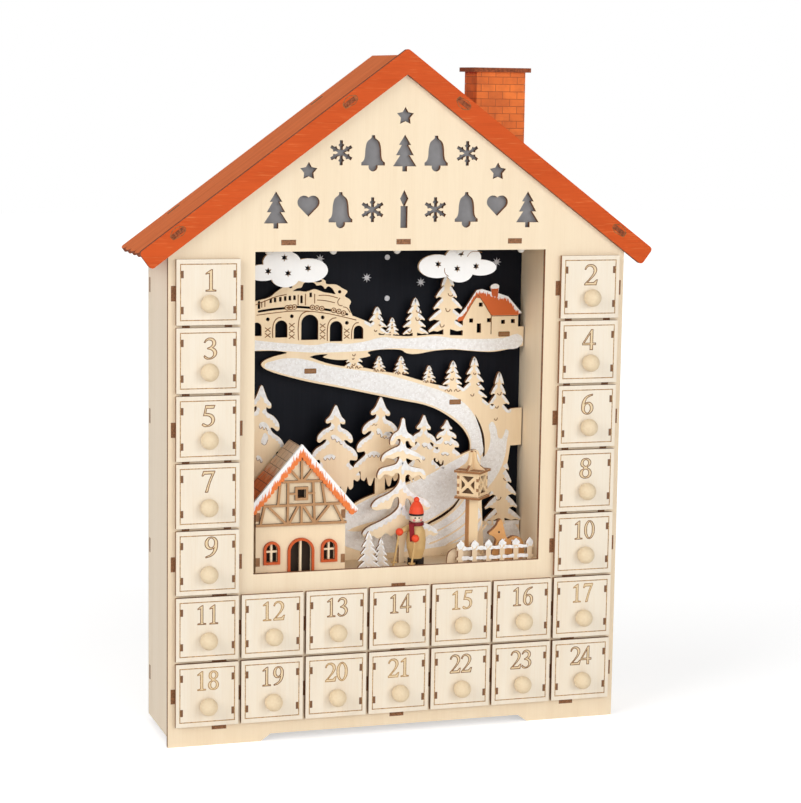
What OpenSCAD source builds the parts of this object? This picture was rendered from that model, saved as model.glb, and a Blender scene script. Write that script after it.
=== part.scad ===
// Wooden advent calendar: a house-shaped case with 24 numbered drawers round a
// lit winter scene. Millimetres, Z up, front towards -Y, standing on Z = 0.

/* [Case] */
// Spacing of the drawers across the case
cell_w = 45; // [42:0.5:50]
// Spacing of the drawers up the case
cell_h = 45.2; // [43:0.5:50]
// Thickness of the plywood of the case
ply = 3.5; // [3:0.1:4]
// Clear depth between the front panel and the back panel
case_depth = 63; // [60:1:80]
// Side edge of the front panel, past the middle of the side panel
panel_edge = 3.7; // [2.5:0.1:8]
// Height of the middle of the base board above the table
base_rise = 12.5; // [9:0.5:20]
// Height of the cut between the two feet
foot_h = 4.8; // [3:0.1:6]
// Length of each foot along the table
foot_w = 64.5; // [40:0.5:90]
// Run of the slanted end of each foot
foot_slant = 6.8; // [3:0.1:15]
// Gap under the side panels
side_low = 4.2; // [2:0.1:6]
// Length of the wide tenons that lock the case
tenon_w = 10; // [7:0.5:14]
// Length of the narrow tenons of the column shelves
small_tenon_w = 5; // [3:0.5:8]
// Half the spacing of the narrow tenons
small_tenon_x = 14.3; // [9:0.1:15]
// Clearance on each side of a tenon in its slot
fit = 0.08; // [0.05:0.01:0.15]
// Glue line between two pieces of one assembly
glue = 0.06; // [0.04:0.01:0.1]
// Depth of the side panels behind the back panel
rear_recess = 3.5; // [2:0.1:10]

/* [Window] */
// Width of the frame between the outer columns and the window
window_post = 9.8; // [7:0.1:20]
// Height of the window's sill above the stage shelf's middle
window_sill = 13.1; // [11:0.1:18]
// Window's top edge below the middle of the attic floor
window_head = 6; // [4:0.1:15]
// Middle of the attic floor above the top of the last drawer cell
attic_gap = 10.3; // [9:0.1:20]

/* [Roof] */
// Slope of the roof in degrees
roof_pitch = 36.6; // [30:0.1:42]
// Top of the side panels above the attic floor
eave_rise = 0.3; // [0.1:0.1:6]
// Thickness of the roof sheets
sheet_t = 3.2; // [2.5:0.1:5]
// Length of a roof sheet down its slope
sheet_len = 219.5; // [212:0.5:240]
// Roof sheets behind the rear edge of the side panels
roof_back = 3.4; // [1:0.1:12]
// Number of scallops along the lower edge of a sheet
scallops = 5; // [3:1:9]
// Depth of a scallop
scallop_h = 3; // [1.5:0.1:5]
// Thickness of the bargeboard
barge_t = 4; // [3:0.1:6]
// Width of the bargeboard
barge_w = 13.8; // [11:0.1:20]
// Bargeboard above the roof sheets
barge_proud = 3.4; // [1:0.1:6]
// Bargeboard past the lower end of a roof sheet
barge_over = 1.3; // [0.5:0.1:4]
// Rounding of the bargeboard's corners
barge_round = 2.4; // [0.5:0.1:4]

/* [Chimney] */
// Width of the chimney
chimney_w = 35.4; // [24:0.1:50]
// Depth of the chimney
chimney_depth = 25; // [18:0.5:40]
// Middle of the chimney from the ridge
chimney_x = 77.2; // [50:0.1:110]
// Front of the chimney behind the front panel
chimney_front = 26; // [6:0.5:40]
// Height of the chimney over the roof at its middle
chimney_h = 47; // [35:0.5:70]
// Thickness of the chimney walls
chimney_t = 3; // [2:0.1:5]
// Height of the corner fingers of the chimney
finger_h = 5; // [3:0.1:8]
// Drop of the fingers from the chimney's top
finger_drop = 8; // [4:0.1:14]
// Overhang of the chimney cap
cap_out = 3; // [1:0.1:6]
// Thickness of the chimney cap
cap_t = 3; // [2:0.1:5]

/* [Drawers] */
// Width of a drawer front
front_w = 43; // [41:0.1:44.4]
// Height of a drawer front
front_h = 43.3; // [41:0.1:44.6]
// Thickness of a drawer front
front_t = 3; // [2.5:0.1:4]
// Gap between a closed drawer front and the panel
rest_gap = 0.8; // [0.7:0.1:2]
// Middle of a drawer front above the middle of its shelf
front_rise = 23.6; // [23:0.1:24]
// Width of a drawer's box
box_w = 37.8; // [34:0.1:39]
// Height of a drawer's box
box_h = 36.8; // [30:0.1:37.6]
// Length of a drawer's box behind its front
box_len = 58; // [50:0.5:59]
// Thickness of the drawer sides, bottom and back
box_t = 2.2; // [1.8:0.1:2.8]
// Running gap between a drawer and its shelf
run_gap = 0.3; // [0.25:0.05:0.5]
// Width of an opening for a drawer
opening_w = 39.4; // [39.2:0.1:41]
// Height of an opening for a drawer
opening_h = 38.4; // [38:0.1:39.5]
// Height of the tenons of the drawer sides
box_tenon_h = 4.8; // [3:0.1:7]
// Distance of those tenons from the middle of the front
box_tenon_z = 11.8; // [8:0.1:12]
// Diameter of a knob
knob_d = 12; // [9:0.1:14]
// Length of a knob in front of its drawer
knob_len = 11; // [9:0.1:14]
// Diameter of a knob's neck
knob_neck_d = 7; // [5:0.1:8]
// Diameter of a knob's dowel
dowel_d = 3; // [2:0.1:4]
// Drop of a knob below the middle of its front
knob_drop = 7.3; // [4:0.1:10]

/* [Gable] */
// Height of the cut-out ornaments
ornament_h = 24.5; // [18:0.5:26]
// Width of a cut-out ornament
ornament_w = 16.5; // [12:0.5:18]
// Spacing of the ornaments
ornament_step = 22.2; // [20:0.1:23]
// Middle of the lower row above the attic floor
lower_row = 21.5; // [18:0.5:24]
// Middle of the upper row above the attic floor
upper_row = 59.3; // [54:0.5:62]
// Radius of the three stars
star_r = 6.2; // [4:0.1:7]
// Thickness of the grey light films
film_t = 0.6; // [0.4:0.1:1]

/* [Winter scene] */
// Thickness of the stage floor
stage_t = 7.4; // [5:0.1:9]
// Thickness of the scene's boards
board_t = 3; // [2.5:0.1:3.4]
// Gap between a scene board and the niche walls
board_clear = 1; // [0.5:0.1:3]
// Front of the landscape board behind the front panel's face
landscape_d = 57; // [55:0.5:59]
// Front of the forest board behind the front panel's face
forest_d = 47; // [45:0.5:49]
// Front of the tall near fir behind the front panel's face
near_fir_d = 30; // [28:0.5:34]
// Front of the clouds behind the front panel's face
cloud_d = 20; // [16:0.5:34]
// Width of a cloud
cloud_w = 56.5; // [40:0.5:64]
// Rounding of the cut boughs and hills
bough_round = 0.45; // [0.3:0.05:0.8]

/* [Little house] */
// Width of the little house
house_w = 63; // [50:0.5:70]
// Gap between the little roof and the niche wall
house_clear = 3.35; // [1:0.05:8]
// Front wall's face behind the front panel's face
house_d = 9.5; // [8.5:0.1:11]
// Depth of the little house
house_depth = 32; // [20:0.5:34]
// Height of the side walls
house_wall_h = 49.2; // [42:0.1:56]
// Slope of the little roof in degrees
house_pitch = 49; // [44:0.1:52]
// Thickness of the house walls
house_t = 3; // [2:0.1:3.5]
// Thickness of the little roof's sheets
tile_t = 2; // [1.5:0.1:3]
// Reach of the little roof past the side walls
house_eave_out = 8.6; // [5:0.1:10]
// Width of the little bargeboard
house_barge_w = 4.6; // [3:0.1:7]
// Thickness of the timbering laid on the front wall
timber_t = 2; // [1:0.1:2.4]
// Width of a timber
beam_w = 1.7; // [1.2:0.1:2.4]

/* [Figures] */
// Side of the lantern's square box
lantern_w = 16.4; // [12:0.1:20]
// Middle of the lantern behind the front panel's face
lantern_d = 21; // [18:0.5:24]
// Height of the lantern's post above the floor
post_h = 46.1; // [38:0.1:54]
// Side of the lantern's square post
post_w = 7; // [5:0.1:9]
// Height of the lantern's box
cage_h = 16.4; // [12:0.1:22]
// Thickness of the lantern's plates
lantern_t = 1.8; // [1.2:0.1:2.4]
// Height of the skier
skier_h = 48; // [42:0.5:52]
// Length of the picket fence
fence_w = 57.4; // [44:0.1:60]
// Height of the picket fence
fence_h = 17.5; // [12:0.1:22]
// Thickness of the fence and the small firs
small_t = 2; // [1.5:0.1:2.6]
// Width of a picket
picket_w = 3.8; // [2.5:0.1:5]
// Thickness of the deer
deer_t = 4; // [3:0.1:6]
// Length of the low mound beside the lantern
mound_w = 28.6; // [20:0.1:34]
// Height of that mound
mound_h = 12; // [8:0.1:16]

/* [Lighting] */
// Room for the contact springs beside the batteries
contact_room = 6.6; // [4:0.1:12]
// Spare height over and under the batteries
bay_slack = 3.2; // [1:0.1:8]
// Depth of the battery case in front of the back panel's rear face
bay_depth = 19; // [18.5:0.5:26]
// Wall of the battery case
bay_t = 1.6; // [1.2:0.1:2.2]
// Width of the bay for the light switch
switch_bay_w = 16; // [14:0.5:22]
// Rim of the battery case round its opening
rim_w = 3; // [2:0.1:5]
// Thickness of the rim and of the battery cover
rim_t = 1.2; // [1:0.1:1.5]
// Travel of the light switch
switch_travel = 4; // [3:0.1:6]
// Diameter of a battery
battery_d = 14.3; // [13.5:0.1:14.6]
// Length of a battery
battery_len = 50.2; // [48:0.1:51]
// Diameter of a lamp
lamp_d = 5; // [3:0.1:6]
// Number of lamps on the lamp board
lamps = 5; // [3:1:8]

/* [Hidden] */
columns = 7;
column_rows = 7;
drawers = 24;
tiny = 0.01;

function two_digits(n) = str(n < 10 ? "0" : "", n);
function drawer_name(n) = str("drawer_", two_digits(n));

// Places in the case. A depth d is measured back from the front panel's face.
side_x = columns * cell_w / 2;
side_in = side_x - ply / 2;
side_out = side_x + ply / 2;
panel_x = side_x + panel_edge;
back_d = ply + case_depth;
side_back = back_d + ply + rear_recess;
roof_depth = side_back + roof_back;
front_reach = rest_gap + front_t + knob_len;
front_y = (front_reach - roof_depth) / 2;
function shelf_z(r) = base_rise + r * cell_h;
function shelf_top(r) = shelf_z(r) + ply / 2;
function cell_x(c) = (c - (columns - 1) / 2) * cell_w;
attic_z = shelf_z(column_rows) + attic_gap;
window_x = 5 * cell_w / 2 - window_post;
window_low = shelf_z(2) + window_sill;
window_high = attic_z - window_head;
wall_x = 5 * cell_w / 2;
full_tenons = [-14 / 5 * cell_w, 0, 14 / 5 * cell_w];
attic_tenons = [-16 / 9 * cell_w, 0, 16 / 9 * cell_w];
locked_rows = [0, 2, 4, 6];
function row_middle(r) = shelf_z(r) + cell_h / 2;

// Roof lines: the underside of the sheets at a distance x from the ridge.
slope = tan(roof_pitch);
ridge_z = attic_z + ply / 2 + eave_rise + fit + slope * side_out;
function roof_under(x) = ridge_z - slope * abs(x);
function roof_top(x) = roof_under(x) + sheet_t / cos(roof_pitch);
tenon_share = [0.22, 0.877];
gable_tenon_share = [0.26, 0.905];
function gable_tenon_u(s) = s * side_in / cos(roof_pitch);

// The scene's box: the niche between its walls, floor and ceiling. Shares of its
// height run from a panel's thickness over the shelf, just under the stage floor's top.
niche_w = 2 * wall_x - ply;
scene_w = niche_w - 2 * board_clear;
scene_low = shelf_top(2) + ply;
floor_z = shelf_top(2) + stage_t;
ceiling_z = attic_z - ply / 2;
scene_h = ceiling_z - scene_low;
floor_share = (floor_z - scene_low) / scene_h;
function nx(share) = (share - 1 / 2) * scene_w;
function nz(share) = scene_low + share * scene_h;
house_x = niche_w / 2 - house_clear - house_eave_out - house_w / 2;

// A plate standing across the case, drawn as it is seen from the front.
module upright(d, t) {
    translate([0, front_y + d + t, 0]) rotate([90, 0, 0]) linear_extrude(t) children();
}
// A plate standing front to back, drawn as depth against height.
module sideways(x, t) {
    translate([x, front_y, 0]) rotate([90, 0, 90]) linear_extrude(t) children();
}
// A plate lying level, drawn as width against depth.
module level(z, t) {
    translate([0, front_y, z]) linear_extrude(t) children();
}
module area(x0, x1, z0, z1) {
    translate([x0, z0]) square([x1 - x0, z1 - z0]);
}
module slot(x, z, w, h) {
    translate([x, z]) square([w + 2 * fit, h + 2 * fit], center = true);
}
module soften(r) {
    offset(r = r, $fn = 12) offset(delta = -r) children();
}
module both_sides() {
    children();
    mirror([1, 0]) children();
}
module star(points, r, inner_share) {
    polygon([for (i = [0:2 * points - 1])
        let (a = 90 + 180 * i / points, q = i % 2 == 0 ? r : r * inner_share) [q * cos(a), q * sin(a)]]);
}
// Points of a smooth open curve through a list of points.
curve_steps = 3;
function curve_point(p0, p1, p2, p3, t) = (2 * p1 + (p2 - p0) * t
    + (2 * p0 - 5 * p1 + 4 * p2 - p3) * t * t + (3 * p1 - p0 - 3 * p2 + p3) * t * t * t) / 2;
function curve(p) = let (last = len(p) - 1) concat([for (i = [0:last - 1], k = [0:curve_steps - 1])
    curve_point(p[max(i - 1, 0)], p[i], p[i + 1], p[min(i + 2, last)], k / curve_steps)], [p[last]]);
// The other half of a symmetrical outline, back from its last point to point number first.
function other_side(half, first) = [for (i = [len(half) - 1:-1:first]) [-half[i][0], half[i][1]]];
function in_scene(shares) = [for (s = shares) [nx(s[0]), nz(s[1])]];

// Front panel

// Half of a bell, as shares of its width and height from the top middle
bell_shares = [[0.07, 0.98], [0.09, 0.9], [0.26, 0.8], [0.33, 0.62], [0.35, 0.42], [0.4, 0.3],
    [0.5, 0.24]];
bell_lip_share = 0.16;
clapper_share = 0.13;
module bell_cut() {
    half = [for (p = curve(bell_shares)) [p[0] * ornament_w, (p[1] - 1 / 2) * ornament_h]];
    lip = [ornament_w / 2, (bell_lip_share - 1 / 2) * ornament_h];
    polygon(concat(half, [lip, [-lip[0], lip[1]]], other_side(half, 0)));
    translate([0, (clapper_share - 1 / 2) * ornament_h]) circle(clapper_share * ornament_h, $fn = 24);
}
// Half of a three-tier fir: half width and height of each corner, as shares
fir_cut_shares = [[0, 1], [0.26, 0.72], [0.14, 0.72], [0.38, 0.44], [0.2, 0.44], [0.5, 0.14],
    [0.1, 0.14], [0.1, 0]];
module fir_cut() {
    half = [for (p = fir_cut_shares) [p[0] * ornament_w, (p[1] - 1 / 2) * ornament_h]];
    polygon(concat(half, other_side(half, 1)));
}
heart_lobe_share = 0.27;
module heart_cut() {
    r = heart_lobe_share * ornament_w;
    offset(delta = tiny) translate([0, -r]) rotate(45) {
        square(2 * r);
        translate([r, 2 * r]) circle(r, $fn = 28);
        translate([2 * r, r]) circle(r, $fn = 28);
    }
}
flake_bar_share = 0.13;
flake_branch_share = 0.3;
flake_branch_turn = 40;
module flake_cut() {
    bar = flake_bar_share * ornament_w;
    reach = ornament_w / 2;
    offset(delta = tiny) for (a = [0:60:300]) rotate(a) {
        translate([-bar / 2, 0]) square([bar, reach]);
        for (s = [-1, 1]) translate([0, reach * 9 / 20]) rotate(s * flake_branch_turn)
            translate([-bar / 3, 0]) square([2 * bar / 3, flake_branch_share * reach]);
    }
}
candle_share = 0.3;
flame_share = 0.17;
module candle_cut() {
    w = candle_share * ornament_w;
    translate([-w / 2, -ornament_h / 2]) square([w, ornament_h * 3 / 5]);
    translate([0, ornament_h * 3 / 10]) scale([1, 2]) rotate(45)
        square(flame_share * ornament_h, center = true);
}
module ornament(kind) {
    if (kind == "bell") bell_cut();
    if (kind == "fir") fir_cut();
    if (kind == "heart") heart_cut();
    if (kind == "flake") flake_cut();
    if (kind == "candle") candle_cut();
}
module ornament_row(z, kinds) {
    for (i = [0:len(kinds) - 1])
        translate([(i - (len(kinds) - 1) / 2) * ornament_step, z]) ornament(kinds[i]);
}
star_low_share = 0.55;
lower_kinds = ["fir", "heart", "bell", "flake", "candle", "flake", "bell", "heart", "fir"];
upper_kinds = ["flake", "bell", "fir", "bell", "flake"];
module gable_cuts() {
    ornament_row(attic_z + lower_row, lower_kinds);
    ornament_row(attic_z + upper_row, upper_kinds);
    translate([0, attic_z + upper_row + ornament_h]) star(5, star_r, star_low_share);
    both_sides() translate([3 * ornament_step, attic_z + upper_row - ornament_h / 2])
        star(5, star_r, star_low_share);
}
module front_slots() {
    for (r = [0:2], x = full_tenons) slot(x, shelf_z(r), tenon_w, ply);
    for (x = attic_tenons) slot(x, attic_z, tenon_w, ply);
    for (r = locked_rows) both_sides() slot(side_x, row_middle(r), ply, tenon_w);
    for (r = [2, 4, 6]) both_sides() slot(wall_x, row_middle(r), ply, tenon_w);
    for (r = [3:6], s = [-1, 1]) both_sides()
        slot(cell_x(6) + s * small_tenon_x, shelf_z(r), small_tenon_w, ply);
    for (r = [0, 1], c = [0:columns - 2]) slot(cell_x(c) + cell_w / 2, row_middle(r), ply, tenon_w);
}
function drawer_col(n) = n > 10 ? (n - 11) % columns : n % 2 == 1 ? 0 : columns - 1;
function drawer_row(n) = n > 17 ? 0 : n > 10 ? 1 : 6 - floor((n - 1) / 2);
module house_outline(half_w, low) {
    polygon([[-half_w, low], [half_w, low], [half_w, roof_under(half_w) - fit], [0, ridge_z - fit],
        [-half_w, roof_under(half_w) - fit]]);
}
module front_panel() {
    foot = panel_x - foot_w;
    color("wheat") upright(0, ply) difference() {
        house_outline(panel_x, 0);
        polygon([[-foot, -tiny], [foot, -tiny], [foot - foot_slant, foot_h], [foot_slant - foot, foot_h]]);
        for (n = [1:drawers])
            translate([cell_x(drawer_col(n)) - opening_w / 2, shelf_top(drawer_row(n)) - fit])
                square([opening_w, opening_h + fit]);
        area(-window_x, window_x, window_low, window_high);
        front_slots();
        gable_cuts();
    }
}

// Back panel, with the night sky behind the scene

sky_star_shares = [[0.477, 0.877], [0.659, 0.861], [0.321, 0.936], [0.918, 0.921]];
sky_dot_shares = [[0.545, 0.939], [0.546, 0.813]];
sky_star_share = 0.017;
sky_point_share = 0.36;
sky_dot_share = 0.0092;
module gable_tenons(grow) {
    both_sides() for (s = gable_tenon_share) translate([0, ridge_z]) rotate(-roof_pitch)
        translate([gable_tenon_u(s) - tenon_w / 2 - grow, -ply])
            square([tenon_w + 2 * grow, ply + sheet_t]);
}
module back_panel() {
    color("wheat") upright(back_d, ply) difference() {
        union() {
            house_outline(side_in, side_low);
            for (r = locked_rows)
                area(-side_out, side_out, row_middle(r) - tenon_w / 2, row_middle(r) + tenon_w / 2);
            gable_tenons(0);
        }
        for (r = [0:2], x = full_tenons) slot(x, shelf_z(r), tenon_w, ply);
        for (x = attic_tenons) slot(x, attic_z, tenon_w, ply);
        for (r = [2, 4, 6]) both_sides() slot(wall_x, row_middle(r), ply, tenon_w);
        for (s = sky_star_shares) translate([nx(s[0]), nz(s[1])])
            star(8, sky_star_share * scene_w, sky_point_share);
        for (s = sky_dot_shares) translate([nx(s[0]), nz(s[1])])
            circle(sky_dot_share * scene_w, $fn = 24);
        translate([0, case_z]) square([case_w + 2 * fit, bay_h + 2 * fit], center = true);
    }
}

// Side panels, base, shelves, walls and floors

module side_panel() {
    top = attic_z + ply / 2 + eave_rise;
    sideways(side_in, ply) difference() {
        union() {
            area(ply, side_back, side_low, top);
            for (r = locked_rows)
                area(0, ply + tiny, row_middle(r) - tenon_w / 2, row_middle(r) + tenon_w / 2);
        }
        for (r = locked_rows) slot(back_d + ply / 2, row_middle(r), ply, tenon_w);
    }
}
module right_side() {
    color("burlywood") side_panel();
}
module left_side() {
    color("burlywood") mirror([1, 0, 0]) side_panel();
}
module full_board(tenons) {
    area(-side_in, side_in, ply, back_d);
    for (x = tenons) area(x - tenon_w / 2, x + tenon_w / 2, 0, back_d + ply);
}
module base_board() {
    color("burlywood") level(shelf_z(0) - ply / 2, ply) full_board(full_tenons);
}
module shelves() {
    color("burlywood") for (r = [1, 2]) level(shelf_z(r) - ply / 2, ply) full_board(full_tenons);
}
module column_shelves() {
    inner = wall_x + ply / 2;
    color("burlywood") for (r = [3:6], side = [-1, 1]) level(shelf_z(r) - ply / 2, ply) {
        area(min(side * inner, side * side_in), max(side * inner, side * side_in), ply, back_d);
        for (s = [-1, 1]) translate([side * cell_x(6) + s * small_tenon_x - small_tenon_w / 2, 0])
            square([small_tenon_w, back_d]);
    }
}
module drawer_dividers() {
    color("burlywood") for (r = [0, 1], c = [0:columns - 2]) sideways(cell_x(c) + (cell_w - ply) / 2, ply) {
        area(ply, back_d, shelf_top(r), shelf_z(r + 1) - ply / 2);
        area(0, back_d, row_middle(r) - tenon_w / 2, row_middle(r) + tenon_w / 2);
    }
}
module niche_walls() {
    color("wheat") for (x = [-wall_x, wall_x]) sideways(x - ply / 2, ply) {
        area(ply, back_d, shelf_top(2), ceiling_z);
        for (r = [2, 4, 6]) area(0, back_d + ply, row_middle(r) - tenon_w / 2, row_middle(r) + tenon_w / 2);
    }
}
function lamp_x(i) = (i - (lamps - 1) / 2) * cell_w;
lamp_row_d = 14 * lamp_d / 5;
module attic_floor() {
    color("burlywood") level(ceiling_z, ply) difference() {
        full_board(attic_tenons);
        for (i = [0:lamps - 1]) translate([lamp_x(i), lamp_row_d])
            circle(d = lamp_d + 4 * fit, $fn = 32);
        for (s = cloud_place_shares)
            slot(nx(s[0]), cloud_d + board_t / 2, cloud_stem_share * cloud_w, board_t);
    }
}

// Feet of the scene's boards in the stage floor
foot_len = 8;
forest_feet_shares = [0.3, 0.62];
landscape_feet_shares = [0.82, 0.95];
near_fir_share = 0.553;
// Little firs: place past the first, top, width and steps back behind the first
little_fir_shares = [[0, 0.137, 0.076, 0], [0.046, 0.112, 0.056, 1]];
fir_foot_w = 4;
little_fir_gap = 17;
function little_fir_x(s) = little_fir_gap + house_w / 2 - house_x + s * scene_w;
little_fir_d = house_d;
fence_d = house_d;
fence_left_share = 0.7065;
deer_share = 0.8986;
deer_w = 26;
deer_h = 29.2;
deer_d = lantern_d + small_t;
lantern_share = 0.7735;
mound_share = 0.7455;
mound_d = fence_d + 2 * small_t;
pickets = 6;
function picket_x(i) = nx(fence_left_share) + picket_w * 4 / 5
    + i * (fence_w - picket_w * 8 / 5) / (pickets - 1);
// House walls stand on the floor with one foot each.
module floor_feet(grow) {
    for (s = forest_feet_shares) foot_plan(nx(s), forest_d, foot_len, board_t, grow);
    for (s = landscape_feet_shares) foot_plan(nx(s), landscape_d, foot_len, board_t, grow);
    foot_plan(nx(near_fir_share), near_fir_d, foot_len, board_t, grow);
    for (s = little_fir_shares)
        foot_plan(little_fir_x(s[0]), little_fir_d + s[3] * fir_foot_w, fir_foot_w, small_t, grow);
    for (i = [0, pickets - 1]) foot_plan(picket_x(i), fence_d, picket_w, small_t, grow);
    foot_plan(nx(deer_share) - deer_w / 5, deer_d, foot_len / 2, deer_t, grow);
    foot_plan(nx(lantern_share), lantern_d - post_w / 2, post_w, post_w, grow);
    foot_plan(nx(mound_share), mound_d, foot_len / 2, small_t, grow);
    for (d = [house_d, house_d + house_depth - house_t])
        foot_plan(-house_x - house_w / 4, d, foot_len, house_t, grow);
}
module foot_plan(x, d, w, t, grow) {
    translate([x - w / 2 - grow, d - grow]) square([w + 2 * grow, t + 2 * grow]);
}
module stage_floor() {
    color("wheat") level(shelf_top(2), stage_t - glue) difference() {
        area(-niche_w / 2 + fit, niche_w / 2 - fit, ply + fit, back_d - fit);
        floor_feet(fit);
    }
}
module foot(x, w) {
    translate([x - w / 2, floor_z - stage_t + fit]) square([w, stage_t]);
}

// Grey films behind the cut-outs of the gable and of the sky

film_w_share = 0.95;
film_top_share = 0.2;
sky_film_shares = [0.79, 0.96];
module light_films() {
    low = attic_z + ply;
    high = attic_z + upper_row + ornament_h + 2 * star_r;
    shoulder = attic_z + lower_row + ornament_h / 2 + fit;
    w = film_w_share * wall_x;
    color("gray") {
        upright(ply, film_t) polygon([[-w, low], [w, low], [w, shoulder], [film_top_share * w, high],
            [-film_top_share * w, high], [-w, shoulder]]);
        upright(back_d + ply, film_t)
            area(-niche_w / 2, niche_w / 2, nz(sky_film_shares[0]), nz(sky_film_shares[1]));
    }
}

// Roof

module on_slope() {
    translate([0, front_y, ridge_z]) rotate([0, roof_pitch, 0]) children();
}
scallop_steps = 12;
module roof_sheet() {
    pitch_d = roof_depth / scallops;
    lip = [for (i = [0:scallops - 1], k = [0:scallop_steps - 1]) let (a = 180 * k / scallop_steps)
        [sheet_len - scallop_h + scallop_h * sin(a), (i + (1 - cos(a)) / 2) * pitch_d]];
    difference() {
        on_slope() linear_extrude(sheet_t) difference() {
            union() {
                polygon(concat([[-sheet_t, 0]], lip,
                    [[sheet_len - scallop_h, roof_depth], [-sheet_t, roof_depth]]));
                for (s = tenon_share)
                    area(s * sheet_len - tenon_w / 2, s * sheet_len + tenon_w / 2, -barge_t, tiny);
            }
            for (s = gable_tenon_share) slot(gable_tenon_u(s), back_d + ply / 2, tenon_w, ply);
        }
        translate([-2 * sheet_t, front_y - barge_t, ridge_z - sheet_t])
            cube([2 * sheet_t + glue / 2, roof_depth + 2 * barge_t, 4 * sheet_t]);
    }
}
module roof_right() {
    color("darkorange") roof_sheet();
}
module roof_left() {
    color("darkorange") mirror([1, 0, 0]) roof_sheet();
}
function slope_point(u, n) = [u * cos(roof_pitch) + n * sin(roof_pitch),
    ridge_z - u * sin(roof_pitch) + n * cos(roof_pitch)];
module bargeboard() {
    barge_len = sheet_len + barge_over;
    high = sheet_t + barge_proud;
    low = high - barge_w;
    outer = slope_point(barge_len, high);
    inner = slope_point(barge_len, low);
    color("orangered") upright(-barge_t, barge_t) difference() {
        soften(barge_round) polygon([[0, ridge_z + high / cos(roof_pitch)], outer, inner,
            [0, ridge_z + low / cos(roof_pitch)], [-inner[0], inner[1]], [-outer[0], outer[1]]]);
        both_sides() for (s = tenon_share) translate([0, ridge_z]) rotate(-roof_pitch)
            slot(s * sheet_len, sheet_t / 2, tenon_w, sheet_t);
    }
}

// Chimney

chimney_top = roof_top(chimney_x) + chimney_h;
chimney_back = chimney_front + chimney_depth;
module under_roof() {
    translate([0, 0, fit]) on_slope() translate([0, 0, sheet_t - 2 * chimney_h])
        cube([sheet_len, roof_depth, 2 * chimney_h]);
}
function finger_zs() = [chimney_top - finger_drop - finger_h, chimney_top - chimney_h - finger_drop];
module chimney_walls() {
    x0 = chimney_x - chimney_w / 2;
    x1 = chimney_x + chimney_w / 2;
    low = chimney_top - 2 * chimney_h;
    color("chocolate") difference() {
        union() {
            for (d = [chimney_front, chimney_back - chimney_t]) upright(d, chimney_t) difference() {
                area(x0, x1, low, chimney_top);
                for (z = finger_zs()) {
                    area(x0 - tiny, x0 + chimney_t + glue, z - glue, z + finger_h + glue);
                    area(x1 - chimney_t - glue, x1 + tiny, z - glue, z + finger_h + glue);
                }
            }
            for (x = [x0, x1 - chimney_t]) sideways(x, chimney_t) {
                area(chimney_front + chimney_t + glue, chimney_back - chimney_t - glue, low, chimney_top);
                for (z = finger_zs()) area(chimney_front, chimney_back, z, z + finger_h);
            }
        }
        under_roof();
    }
}
module chimney_cap() {
    color("saddlebrown") level(chimney_top, cap_t) area(chimney_x - chimney_w / 2 - cap_out,
        chimney_x + chimney_w / 2 + cap_out, chimney_front - cap_out, chimney_back + cap_out);
}

// Firs cut from board

// Small fir: one bough from trunk to trunk, its reach and drop as shares of its tier
bough_shares = [[0.38, 0], [0.72, 0.42], [1, 0.88], [0.95, 1.04], [0.72, 0.9], [0.5, 0.98]];
// Changes of reach that keep the tiers from looking turned on a lathe
reach_shares = [1, 0.9, 1.06, 0.95, 1.03, 0.9];
reach_power = 0.7;
trunk_share = 0.16;
tip_share = 0.12;
function fir_side(h, w, tiers, skew) = [for (t = [0:tiers - 1])
    let (tier_h = h * (1 - tip_share) / tiers, top = h * (1 - tip_share / 3) - t * tier_h,
        reach = w * pow((t + 1) / tiers, reach_power) * reach_shares[(t + skew) % len(reach_shares)])
    for (b = bough_shares) [b[0] * reach, top - b[1] * tier_h]];
module fir(h, w, tiers) {
    right = fir_side(h, w / 2, tiers, 0);
    left = fir_side(h, w / 2, tiers, 1);
    trunk = trunk_share * w / 2;
    hem = tip_share * h;
    polygon(concat([[0, h]], right, [[trunk, hem], [trunk, 0], [-trunk, 0], [-trunk, hem]],
        other_side(left, 0)));
}
// A small fir on the scene at [place, foot, top, width, tiers] given as shares
module scene_fir(s) {
    translate([nx(s[0]), nz(s[1])]) fir((s[2] - s[1]) * scene_h, s[3] * scene_w, s[4]);
}
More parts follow.
